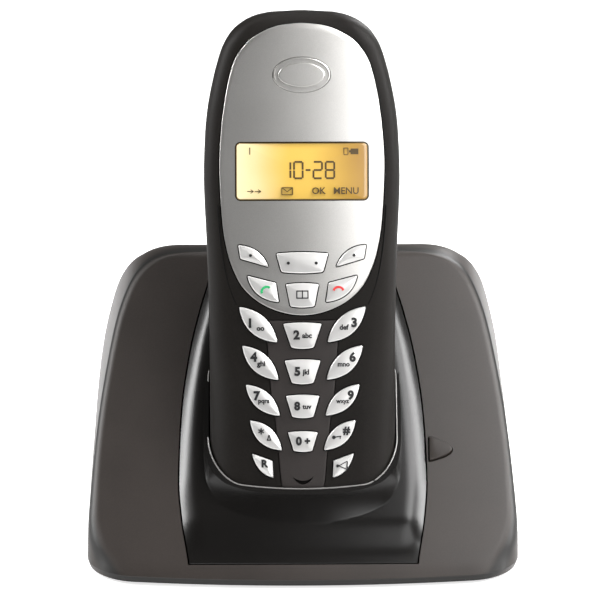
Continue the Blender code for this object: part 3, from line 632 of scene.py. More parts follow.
@dataclass(frozen=True)
class RimShadeCasing(Moulding):
    """Moulded plastic whose rounded rim, just off the sloping panel, is painted near-black as shade."""

    # Painted shade: near-black tone for the rim band, standing in for the shade on the edge as it turns from
    # the light.
    rim: Colour = (0.006, 0.0055, 0.005)

    def make(self) -> bpy.types.Material:
        """Builds the moulding, then darkens a band by the drop below the panel's plane: painted shade on the
        rim.

        Returns:
            The material.
        """
        material = super().make()
        g = Graph(self.name, material)
        across, along = g.axis("X") / MM, g.axis("Y") / MM + BASE_DEPTH / 2
        bow = across * across * (SLOPE.bow / SLOPE.half_width ** 2)
        drop = (along - bow - 1.0) * math.tan(SLOPE.angle) + SLOPE.wall - g.axis("Z") / MM
        # Painted shade: share picks the band from 0.25 to 5 mm below the panel's plane, where the rim turns
        # down.
        share = drop.ramp(0.25, 1.0) * (1.0 - drop.ramp(2.6, 5.0))
        base = g.shader.inputs["Base Color"].links[0].from_socket
        g.feed("Base Color", g.mix(share, base, self.rim))
        return material


@dataclass(frozen=True)
class SatinLacquer:
    """Silver lacquer with fine metal flake under a soft clear coat."""

    name: str
    colour: Colour
    roughness: float = 0.34

    def make(self) -> bpy.types.Material:
        """Builds the material: flake by very fine noise on tone and gloss.

        Returns:
            The material.
        """
        g = Graph(self.name, metallic=0.93, coat_weight=0.1, coat_roughness=0.25)
        flake = g.noise(5200.0, 1.0, 0.5)
        cloud = g.noise(30.0, 2.0)
        share = (flake * 0.6 + cloud * 0.4).ramp(0.3, 0.7)
        g.feed("Base Color", g.mix(share, tuple(c * 0.88 for c in self.colour), self.colour))
        g.feed("Roughness", flake * 0.1 + cloud * 0.05 + (self.roughness - 0.07))
        g.bump(flake, 0.2, 0.01 * MM)
        return g.material


@dataclass(frozen=True)
class Pearl:
    """Pearl key lacquer: pale grey with a faint cloud and a clear coat."""

    name: str
    colour: Colour

    def make(self) -> bpy.types.Material:
        """Builds the material: tone by cloud noise, gloss by fine noise.

        Returns:
            The material.
        """
        g = Graph(self.name, metallic=0.45, coat_weight=0.3, coat_roughness=0.15)
        cloud = g.noise(160.0, 2.0)
        fine = g.noise(4000.0, 1.0)
        g.feed("Base Color", g.mix(cloud.ramp(0.3, 0.7), tuple(c * 0.9 for c in self.colour), self.colour))
        g.feed("Roughness", fine * 0.08 + 0.26)
        return g.material


@dataclass(frozen=True)
class Backlight:
    """Lit display: pale at its left, deeper amber to the right, with a faint cell grid."""

    name: str
    pale: Colour
    middle: Colour
    deep: Colour
    half_width: float
    glow: float

    def make(self) -> bpy.types.Material:
        """Builds the material: the tone follows x, shifted by cloud noise, from pale through middle to deep.

        Returns:
            The material.
        """
        g = Graph(self.name, roughness=0.22, coat_weight=0.6, coat_roughness=0.05,
                  emission_strength=self.glow)
        across = g.axis("X") / (self.half_width * MM)
        cloud = g.noise(45.0, 2.0)
        place = across + cloud * 0.5 - 0.25
        colour = g.mix(place.ramp(-1.05, -0.1), self.pale, self.middle)
        colour = g.mix(place.ramp(0.1, 1.0), colour, self.deep)
        cells = g.noise(9000.0, 0.0)
        colour = g.mix(cells * 0.12, colour, self.deep)
        g.feed("Base Color", colour)
        g.feed("Emission Color", colour)
        return g.material


@dataclass(frozen=True)
class Ink:
    """Printed mark: one tone with a slightly uneven gloss."""

    name: str
    colour: Colour
    roughness: float = 0.5
    glow: float = 0.0

    def make(self) -> bpy.types.Material:
        """Builds the material: tone and gloss by fine noise.

        Returns:
            The material.
        """
        g = Graph(self.name, specular_ior_level=0.4, emission_strength=self.glow)
        fine = g.noise(3000.0, 1.0)
        colour = g.mix(fine, tuple(c * 0.85 for c in self.colour), self.colour)
        g.feed("Base Color", colour)
        if self.glow:
            g.feed("Emission Color", colour)
        g.feed("Roughness", fine * 0.1 + (self.roughness - 0.05))
        return g.material


@dataclass(frozen=True)
class Metal:
    """Plated or drawn metal with fine brushing along one axis."""

    name: str
    colour: Colour
    roughness: float = 0.25

    def make(self) -> bpy.types.Material:
        """Builds the material: brushing by stretched noise on gloss and bump.

        Returns:
            The material.
        """
        g = Graph(self.name, metallic=1.0)
        brush = g.noise(1800.0, 2.0, 0.6, stretch=(1.0, 1.0, 0.08))
        g.feed("Base Color", g.mix(brush, tuple(c * 0.8 for c in self.colour), self.colour))
        g.feed("Roughness", brush * 0.2 + (self.roughness - 0.1))
        g.bump(brush, 0.15, 0.02 * MM)
        return g.material


@dataclass(frozen=True)
class CircuitBoard:
    """Green solder mask with lighter tracks over a coarse cell pattern."""

    name: str
    mask: Colour = (0.02, 0.12, 0.05)
    track: Colour = (0.06, 0.26, 0.12)

    def make(self) -> bpy.types.Material:
        """Builds the material: tracks where a blocky cell noise changes.

        Returns:
            The material.
        """
        g = Graph(self.name, coat_weight=0.4, coat_roughness=0.15)
        node = g.node("TexVoronoi", {"distance": "CHEBYCHEV", "feature": "F1"},
                      {"Vector": g.coords, "Scale": 420.0})
        line = Value(g, node.outputs["Distance"]).ramp(0.32, 0.4)
        g.feed("Base Color", g.mix(line, self.mask, self.track))
        g.feed("Roughness", line * 0.15 + 0.3)
        g.bump(line, 0.3, 0.03 * MM)
        return g.material


GRAPHITE_TONE = (0.0195, 0.0155, 0.0134)


class Finish(Enum):
    """Every finish on the phone."""

    GRAPHITE = RimShadeCasing("graphite_moulding", GRAPHITE_TONE, 0.44, 0.16, 0.03, specular=0.26)
    GRAPHITE_PLAIN = Moulding("graphite_plain", GRAPHITE_TONE, 0.46, 0.16, 0.03, specular=0.26)
    GRAPHITE_KEY = Moulding("graphite_key", GRAPHITE_TONE, 0.42, 0.14, 0.025, specular=0.26)
    GLOSS = Moulding("gloss_black", (0.0042, 0.0038, 0.0035), 0.24, 0.1, 0.0, specular=0.24)
    # Painted highlight: pale grey for the bead on the cradle's rim, standing in for the light its rounded
    # edge catches.
    HIGHLIGHT_BEAD = Moulding("lip_highlight_bead", (0.16, 0.155, 0.15), 0.22, 0.1, 0.0)
    BODY = Moulding("soft_black", (0.0080, 0.0070, 0.0062), 0.5, 0.2, 0.05, 2200.0, specular=0.075)
    STRIP = Moulding("dark_strip", (0.022, 0.0185, 0.0175), 0.42, 0.1, 0.01, specular=0.25)
    DARK = Moulding("dark_plastic", (0.013, 0.013, 0.013), 0.5, 0.15, 0.03)
    SILVER = SatinLacquer("satin_silver", (0.60, 0.588, 0.568), 0.31)
    PEARL = Pearl("pearl_key", (0.60, 0.592, 0.58))
    AMBER = Backlight("amber_display", (0.68, 0.58, 0.36), (0.54, 0.35, 0.072), (0.25, 0.135, 0.022),
                      17.8, 0.3)
    AMBER_EDGE = Moulding("amber_edge", (0.10, 0.062, 0.014), 0.4, 0.1)
    INK = Ink("dark_ink", (0.006, 0.006, 0.007))
    GREEN_INK = Ink("green_ink", (0.02, 0.36, 0.12))
    RED_INK = Ink("red_ink", (0.55, 0.03, 0.03))
    LCD = Ink("display_segment", (0.062, 0.037, 0.008), 0.55)
    SEAM = Moulding("seam_black", (0.0035, 0.0033, 0.0031), 0.6, 0.1, specular=0.05)
    GOLD = Metal("gold_contact", (0.86, 0.62, 0.26), 0.24)
    STEEL = Metal("plain_steel", (0.56, 0.56, 0.57), 0.32)
    BOARD = CircuitBoard("board_green")
    RUBBER = Moulding("black_rubber", (0.02, 0.02, 0.02), 0.75, 0.2, 0.08, 1500.0, specular=0.3)
    CELL = Moulding("cell_wrap", (0.10, 0.25, 0.45), 0.3, 0.1, 0.0, coat=0.3)


class Wardrobe:
    """Makes each finish once and dresses pieces with it."""

    def __init__(self) -> None:
        """Starts with nothing made."""
        self.made: dict[Finish, bpy.types.Material] = {}

    def get(self, finish: Finish) -> bpy.types.Material:
        """The finish's material."""
        if finish not in self.made:
            self.made[finish] = finish.value.make()
        return self.made[finish]

    def dress(self, obj: bpy.types.Object, finish: Finish) -> None:
        """Puts one finish over the whole piece."""
        obj.data.materials.clear()
        obj.data.materials.append(self.get(finish))


WARDROBE = Wardrobe()


def install(obj: bpy.types.Object, finish: Finish, body: str, slot: str, *nodes: str) -> None:
    """Dresses a piece, ties it to its body and hides the nodes it stands for.

    Args:
        obj: the finished piece.
        finish: what it is covered with.
        body: the body it moves with.
        slot: not used.
        nodes: the frame's nodes that it replaces.
    """
    WARDROBE.dress(obj, finish)
    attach(obj, body)
    if nodes:
        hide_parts(*nodes)
    log.info("%s: %d faces on %s", obj.name, len(obj.data.polygons), body)


# ==== handset ================================================================================
class Half(Enum):
    """Which side of the parting line a shell is on."""

    FRONT = "front_shell"
    BACK = "back_shell"


@dataclass
class Shells:
    """The handset's two casings, the battery cover and the slots in its back."""

    gap: float = 0.3
    stations: int = 96
    plate_recess: float = 1.3
    well_depth: float = 3.6
    pad: Sequence[float] = (4.0, 3.0)
    pad_place: Sequence[float] = (7.0, 9.0)
    cover_half: float = 19.2
    cover_thickness: float = 1.5
    cover_travel: float = 6.0
    cover_edge: float = 0.4
    end_play: float = 0.15
    slots: int = 5
    slot_pitch: float = 2.3
    slot_rise: float = 9.0
    grips: int = 5
    grip_pitch: float = 1.9
    grip_drop: float = 6.0

    def ring(self, t: Array, grow: float = 0.0) -> tuple[Array, Array, Array, Array, Array]:
        """The form's size at each station, grown all round.

        Args:
            t: the stations.
            grow: how far every face moves outwards.

        Returns:
            Half-width, front, back, front corner radius and back corner radius.
        """
        half = smooth(HANDSET.sides, t) + grow
        front = smooth(HANDSET.front, t) - grow
        back = smooth(HANDSET.back, t) + grow
        room = np.minimum(half, (back - front) / 2) * 0.97
        face = np.minimum(smooth(HANDSET.face_radius, t), room)
        return half, front, back, face, np.minimum(HANDSET.back_radius, room)

    def surface(self, half_shell: Half, grow: float = 0.0) -> Array:
        """Rings of one half: side, round corner, face, round corner, side, then flat across.

        The round corners are quarter circles in (x, d); the parting plane closes each ring.

        Args:
            half_shell: the half to make.
            grow: how far every face moves outwards.

        Returns:
            (stations, points, 3) places in metres.
        """
        t = HANDSET.stations(self.stations)[:, None]
        half, front, back, face, rear = self.ring(t, grow)
        corner = np.radians(np.linspace(0, 90, 12))[None, :]
        across = np.linspace(-1, 1, 34)[None, 1:-1]
        down = np.linspace(0, 1, 4)[None, :-1]
        if half_shell is Half.FRONT:
            split = np.minimum(HANDSET.split - self.gap / 2, back - 0.4)
            start = np.minimum(front + face, split - 0.2)
            bend = start - front
            side_x, side_d = half + 0 * down, split + (start - split) * down
            arc_x = half - face + face * np.cos(corner)
            arc_d = start - bend * np.sin(corner)
            flat_x, flat_d = -(half - face) * across, front + 0 * across
        else:
            split = np.maximum(HANDSET.split + self.gap / 2, front + 0.4)
            start = np.maximum(back - rear, split + 0.2)
            bend = back - start
            side_x, side_d = half + 0 * down, split + (start - split) * down
            arc_x = half - rear + rear * np.cos(corner)
            arc_d = start + bend * np.sin(corner)
            flat_x, flat_d = -(half - rear) * across, back + 0 * across
        x = np.hstack([side_x, arc_x, flat_x, -arc_x[:, ::-1], -side_x[:, ::-1]])
        d = np.hstack([side_d, arc_d, flat_d, arc_d[:, ::-1], side_d[:, ::-1]])
        return HANDSET.place(x, t, d)

    def front(self, keys: dict[str, Array], plate: Array, strip: Array) -> None:
        """Front casing, with recesses for the inlays and wells for the keys.

        Args:
            keys: each key's outline, by its node's name.
            plate: the silver plate's outline.
            strip: the centre strip's outline.
        """
        shell = loft("handset_front", self.surface(Half.FRONT))
        wells = [face_prism("well", offset(outline, self.gap), BEFORE_FACE, self.well_depth)
                 for outline in keys.values()]
        x, d = self.pad_place
        pads = []
        for side in (-1, 1):
            ring = rounded_box(self.pad[0] / 2 + self.gap, self.pad[1] / 2 + self.gap, 0.3,
                               (side * x, d), 4)
            ends = [HANDSET.place(ring[:, 0], t, ring[:, 1]) for t in (-2.0, 1.0)]
            pads.append(loft("pad", np.array(ends)))
        tools = [face_prism("plate_recess", offset(plate, self.gap), BEFORE_FACE, self.plate_recess),
                 face_prism("strip_recess", offset(strip, self.gap * 0.6), BEFORE_FACE, self.plate_recess),
                 joined("wells", wells), joined("pads", pads)]
        for tool in tools:
            carve(shell, [tool])
        install(shell, Finish.BODY, "handset", "soft_black", "front_shell")

    def cover_span(self) -> tuple[float, float]:
        """Middle and half-length of the battery cover along the handset."""
        low, high = (np.array(corner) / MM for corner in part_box("battery_cover"))
        lean_sin, lean_cos = math.sin(HANDSET.lean), math.cos(HANDSET.lean)
        middle_y, middle_z = (low[1] + high[1]) / 2 + BASE_DEPTH / 2, (low[2] + high[2]) / 2
        middle = (middle_y - HANDSET.corner_y) * lean_sin + (middle_z - HANDSET.corner_z) * lean_cos
        length = ((high[2] - low[2]) - self.cover_thickness * lean_sin) / lean_cos / 2
        return middle, length

    def back(self) -> None:
        """Back casing, recessed for its sliding cover, with ringer slots above it."""
        middle, length = self.cover_span()
        surface = HANDSET.depth - 0.1
        shell = loft("handset_back", self.surface(Half.BACK))
        slack = self.cover_travel / 2 + self.end_play
        recess = rounded_box(self.cover_half + self.gap, length + self.gap + slack, 2.0,
                             (0, middle - slack))
        tools = [face_prism("recess", recess, surface - self.cover_thickness - self.gap, PAST_BACK)]
        first = middle + length + self.slot_rise
        rows = [rounded_box(6.5 - 0.7 * abs(i), 0.55, 0.5, (0, first + self.slot_pitch * i), 6)
                for i in range(-(self.slots // 2), self.slots // 2 + 1)]
        tools.append(joined("ringer_slots", [face_prism("slot", row, 20, PAST_BACK) for row in rows]))
        for tool in tools:
            carve(shell, [tool])
        install(shell, Finish.BODY, "handset", "soft_black", "back_shell")
        self.cover(middle, length, surface)

    def cover(self, middle: float, length: float, surface: float) -> None:
        """Battery cover: a plate with rounded edges and finger grips.

        Args:
            middle: where its middle lies along the handset.
            length: half its length.
            surface: depth of its outer face.
        """
        outline = rounded_box(self.cover_half, length, 1.9, (0, middle))
        edge = self.cover_edge
        rings = [HANDSET.flat(outline, surface - self.cover_thickness)]
        for a in np.linspace(0, math.pi / 2, 5):
            rings.append(HANDSET.flat(offset(outline, -edge * (1 - math.cos(a))),
                                      surface - edge + edge * math.sin(a)))
        cover = loft("battery_lid", np.array(rings))
        top = middle + length - self.grip_drop
        rows = [rounded_box(7.0 - 0.9 * i, 0.45, 0.4, (0, top - self.grip_pitch * i), 6)
                for i in range(self.grips)]
        carve(cover, [joined("grips", [face_prism("grip", row, surface - 0.45, PAST_BACK) for row in rows])])
        install(cover, Finish.BODY, "battery_cover_body", "soft_black", "battery_cover")


@dataclass
class FacePlate:
    """Silver plate, dark centre strip, earpiece, display and the seam beside the keypad."""

    gap: float = 0.3
    thickness: float = 1.0
    plate_table: Table = ((58.4, 0.6), (58.7, 3.4), (59.8, 7.4), (62.3, 12.2), (66.3, 16.3), (70.3, 18.4),
                          (74.2, 19.8), (82.1, 21.3), (90, 21.9), (99, 22.2), (108, 21.7), (116, 20.7),
                          (126, 18.4), (131.6, 14.9), (134.8, 10.2), (136.4, 5.6), (136.9, 1.0))
    strip_table: Table = ((11.9, 4.6), (12.3, 5.6), (21.0, 6.5), (30.0, 7.4), (38.7, 8.6), (51.0, 9.5),
                          (57.0, 10.0))
    earpiece: Sequence[float] = (0.0, 123.0)
    ear_radii: Sequence[float] = (7.9, 4.9)
    grille_radii: Sequence[float] = (6.3, 3.25)
    rim_bore: Sequence[float] = (7.35, 4.35)
    floor_radii: Sequence[float] = (7.5, 4.5)
    bridge_inner: Sequence[float] = (5.7, 2.9)
    bridge_outer: Sequence[float] = (7.7, 4.7)
    bridge_half: float = 0.45
    bridge_angles: Sequence[float] = (228.0, 312.0)
    groove: float = 0.62
    window: Sequence[float] = (17.8, 7.75, 1.3)
    window_t: float = 97.1

    def plate_outline(self) -> Array:
        """The plate's egg-shaped edge."""
        return resample(side_outline(self.plate_table, 90), 180)

    def strip_outline(self) -> Array:
        """The centre strip's tapering edge."""
        return resample(side_outline(self.strip_table, 60), 140)

    def sheet(self, name: str, outline: Array, low: float, high: float, bevel: float) -> bpy.types.Object:
        """Inlay whose face is a fine web of rings, so it follows the handset's crown.

        The rings shrink evenly towards the outline's middle, and the crown bends each of them.

        Args:
            name: the piece's name.
            outline: its edge.
            low: depth of its face.
            high: depth of its hidden side.
            bevel: radius of its rounded edge.

        Returns:
            The inlay.
        """
        centre = outline.mean(axis=0)
        angle = np.linspace(0, math.pi / 2, 4)
        edge = [HANDSET.flat(offset(outline, -bevel * (1 - math.cos(a))), low + bevel * (1 - math.sin(a)))
                for a in angle]
        inner = offset(outline, -bevel)
        web = [HANDSET.flat(centre + (inner - centre) * s, low) for s in np.linspace(1, 0.02, 26)[1:]]
        back = [HANDSET.flat(centre + (outline - centre) * s, high) for s in np.linspace(0.02, 1, 12)]
        return loft(name, np.array(back + edge + web))

    def build(self, keys: dict[str, Array]) -> None:
        """Makes every inlay on the face.

        Args:
            keys: each key's outline, by its node's name.
        """
        low, high = 0.02, self.thickness
        plate = self.sheet("silver_plate", self.plate_outline(), low, high, 0.22)
        ear = ellipse(self.earpiece, self.ear_radii)
        window = rounded_box(*self.window, (0, self.window_t))
        upper = ("soft_key_left", "soft_key_right", "menu_rocker", "talk_key", "end_key", "directory_key")
        holes = [offset(keys[name], self.gap) for name in upper]
        holes += [ear, offset(window, self.gap * 0.7)]
        wells = [face_prism("well", hole, BEFORE_FACE, PAST_INLAY) for hole in holes]
        carve(plate, [joined("plate_wells", wells)])
        install(plate, Finish.SILVER, "handset", "satin_silver", "faceplate")

        strip = self.sheet("keypad_strip", self.strip_outline(), low, high, 0.2)
        wells = [face_prism("well", offset(outline, self.gap), BEFORE_FACE, PAST_INLAY)
                 for outline in keys.values()]
        smile = np.vstack([[(-2.9, 15.0)], bezier((-2.9, 15.0), (0, 10.8), (2.9, 15.0)), [(2.9, 15.0)],
                           bezier((2.9, 15.0), (0, 12.9), (-2.9, 15.0))])
        wells.append(face_prism("smile", smile, BEFORE_FACE, PAST_INLAY))
        carve(strip, [joined("strip_wells", wells)])
        install(strip, Finish.STRIP, "handset", "dark_strip", "centre_strip")
        self.ear_grille()
        self.display(window)
        self.seams()

    def ear_grille(self) -> None:
        """Oval island of the earpiece in a groove, joined to the plate by two small bridges."""
        rim = tuple(radius - 0.1 for radius in self.ear_radii)
        oval = ellipse(self.earpiece, self.grille_radii)
        island = self.sheet("ear_island", oval, 0.0, self.thickness, 0.25)
        lip = self.sheet("ear_rim", ellipse(self.earpiece, rim), 0.02, self.thickness, 0.25)
        bore = face_prism("bore", ellipse(self.earpiece, self.rim_bore), BEFORE_FACE, PAST_INLAY)
        carve(lip, [bore])
        bridges = []
        for degrees in self.bridge_angles:
            a = math.radians(degrees)
            spoke = np.array([math.cos(a), math.sin(a)])
            start = self.earpiece + self.bridge_inner * spoke
            end = self.earpiece + self.bridge_outer * spoke
            along = (end - start) / np.linalg.norm(end - start)
            side = np.array([-along[1], along[0]]) * self.bridge_half
            corners = np.array([start - side, end - side, end + side, start + side])
            bridges.append(face_prism("bridge", resample(corners, 24), 0.15, self.thickness))
        floor = self.sheet("ear_floor", ellipse(self.earpiece, self.floor_radii), self.groove,
                           self.thickness + 0.2, 0.0)
        grille = joined("earpiece_oval", [island, lip, floor] + bridges)
        install(grille, Finish.SILVER, "handset", "satin_silver", "earpiece_grille")

    def display(self, window: Array) -> None:
        """Lit window with its amber frame line and the marks it shows.

        Args:
            window: the outline of its opening.
        """
        glass = self.sheet("display_glass", offset(window, -0.26), 0.05, self.thickness, 0.15)
        install(glass, Finish.AMBER, "handset", "amber_window", "display_window")
        edge = self.sheet("display_frame", window, 0.12, self.thickness - 0.05, 0.1)
        carve(edge, [face_prism("opening", offset(window, -0.3), BEFORE_FACE, PAST_INLAY)])
        install(edge, Finish.AMBER_EDGE, "handset", "dark_plastic")
        marks = joined("display_marks", DisplayMarks(self.window_t).build())
        install(marks, Finish.LCD, "handset", "dark_plastic")

    def seams(self) -> None:
        """Fine groove on each side from the plate's flank to the top leaf key."""
        for name, side in (("left", -1), ("right", 1)):
            top, low = (22.6, 88.0), (17.7, 61.3)
            curve = np.vstack([[top], bezier(top, (21.9, 69.5), low, 30), [low]])
            path = HANDSET.place(side * curve[:, 0], curve[:, 1], 0.16)
            install(ribbon(f"keypad_seam_{name}", path, 0.2 * MM), Finish.SEAM, "handset", "dark_strip")


@dataclass
class DisplayMarks:
    """Digits, icons and words of the display, as thin raised marks."""

    middle_t: float
    depth: float = 0.0
    inner: float = 0.5
    digit_height: float = 4.4
    digit_width: float = 2.3
    stroke: float = 0.5

    def bar(self, x0: float, t0: float, x1: float, t1: float, width: float) -> bpy.types.Object:
        """Straight stroke between two points."""
        return stroke((x0, t0), (x1, t1), width, self.depth, self.inner)

    def outline(self, corners: Sequence[tuple[float, float]], rise: float) -> list[bpy.types.Object]:
        """Closed line through corners that are given above the place rise."""
        ends = zip(corners, corners[1:] + corners[:1])
        return [self.bar(a[0], rise + a[1], b[0], rise + b[1], 0.2) for a, b in ends]

    def digit(self, x: float, t: float, lit: str) -> list[bpy.types.Object]:
        """Seven-segment digit.

        Args:
            x: across to its lower left corner.
            t: along to that corner.
            lit: letters of the segments that show, a to g.

        Returns:
            Its bars.
        """
        w, h, s = self.digit_width, self.digit_height, 0.12
        ends = {"a": (s, h, w - s, h), "b": (w, h - s, w, h / 2 + s), "c": (w, h / 2 - s, w, s),
                "d": (s, 0, w - s, 0), "e": (0, h / 2 - s, 0, s), "f": (0, h - s, 0, h / 2 + s),
                "g": (s, h / 2, w - s, h / 2)}
        bars = []
        for segment in lit:
            x0, t0, x1, t1 = ends[segment]
            bars.append(self.bar(x + x0, t + t0, x + x1, t + t1, self.stroke))
        return bars

    def time(self) -> list[bpy.types.Object]:
        """Four digits with a dash between the pairs.

        Returns:
            Its bars.
        """
        shapes = {"0": "abcdef", "1": "bc", "2": "abdeg", "8": "abcdefg"}
        low = self.middle_t - 1.9
        marks: list[bpy.types.Object] = []
        for x, digit in zip((-5.4, -2.1, 3.1, 6.4), "1028"):
            marks += self.digit(x, low, shapes[digit])
        dash = low + self.digit_height / 2
        marks.append(self.bar(1.0, dash, 2.3, dash, self.stroke))
        return marks

    def lower_row(self) -> list[bpy.types.Object]:
        """Two arrows, an envelope and the words over the soft keys.

        Returns:
            The marks.
        """
        low = self.middle_t - 5.9
        marks: list[bpy.types.Object] = []
        for x in (-13.9, -11.9):
            marks += [self.bar(x - 0.8, low + 0.5, x + 0.8, low + 0.5, 0.22),
                      self.bar(x + 0.1, low + 1.0, x + 0.9, low + 0.45, 0.2),
                      self.bar(x + 0.1, low, x + 0.9, low + 0.55, 0.2)]
        marks += self.outline([(-5.4, -0.4), (-2.5, -0.4), (-2.5, 1.5), (-5.4, 1.5)], low)
        marks += [self.bar(-5.4, low + 1.5, -3.95, low + 0.4, 0.18),
                  self.bar(-3.95, low + 0.4, -2.5, low + 1.5, 0.18)]
        for word, x in (("MENU", 11.9), ("OK", 4.5)):
            marks.append(lettering(word, 2.5, (x, low + 0.55), self.depth, self.inner, 0.014))
        return marks

    def upper_row(self) -> list[bpy.types.Object]:
        """The signal bar and the battery."""
        high = self.middle_t + 4.5
        marks = [self.bar(-14.0, high, -14.0, high + 1.9, 0.28),
                 self.bar(13.1, high + 0.8, 15.2, high + 0.8, 1.5),
                 self.bar(12.7, high + 0.8, 13.1, high + 0.8, 0.6)]
        return marks + self.outline([(11.3, -0.1), (12.4, -0.1), (12.4, 1.7), (11.3, 1.7)], high)

    def build(self) -> list[bpy.types.Object]:
        """Every mark on the display."""
        return self.time() + self.lower_row() + self.upper_row()


def lettering(text: str, height: float, centre: Sequence[float], low: float, high: float,
              bold: float = 0.0) -> bpy.types.Object:
    """Letters as a solid on the handset's face, standing between two depths.

    Args:
        text: what is written.
        height: the size of the font in millimetres.
        centre: (x, t) of its middle.
        low: depth of its outer face.
        high: depth of its hidden face.
        bold: how much each stroke grows, in font units.

    Returns:
        The letters as one object.
    """
    curve = bpy.data.curves.new("lettering", "FONT")
    curve.body = text
    curve.align_x, curve.align_y = "CENTER", "CENTER"
    curve.offset = bold
    curve.resolution_u = 3
    curve.extrude = 0.5
    holder = bpy.data.objects.new("lettering", curve)
    bpy.context.scene.collection.objects.link(holder)
    mesh = bpy.data.meshes.new_from_object(holder.evaluated_get(bpy.context.evaluated_depsgraph_get()))
    bpy.data.objects.remove(holder)
    places = np.empty(len(mesh.vertices) * 3)
    mesh.vertices.foreach_get("co", places)
    places = places.reshape(-1, 3)
    depth = np.where(places[:, 2] > 0, low, high)
    world = HANDSET.place(centre[0] + places[:, 0] * height, centre[1] + places[:, 1] * height, depth)
    return make_object("letters", world, [list(p.vertices) for p in mesh.polygons])


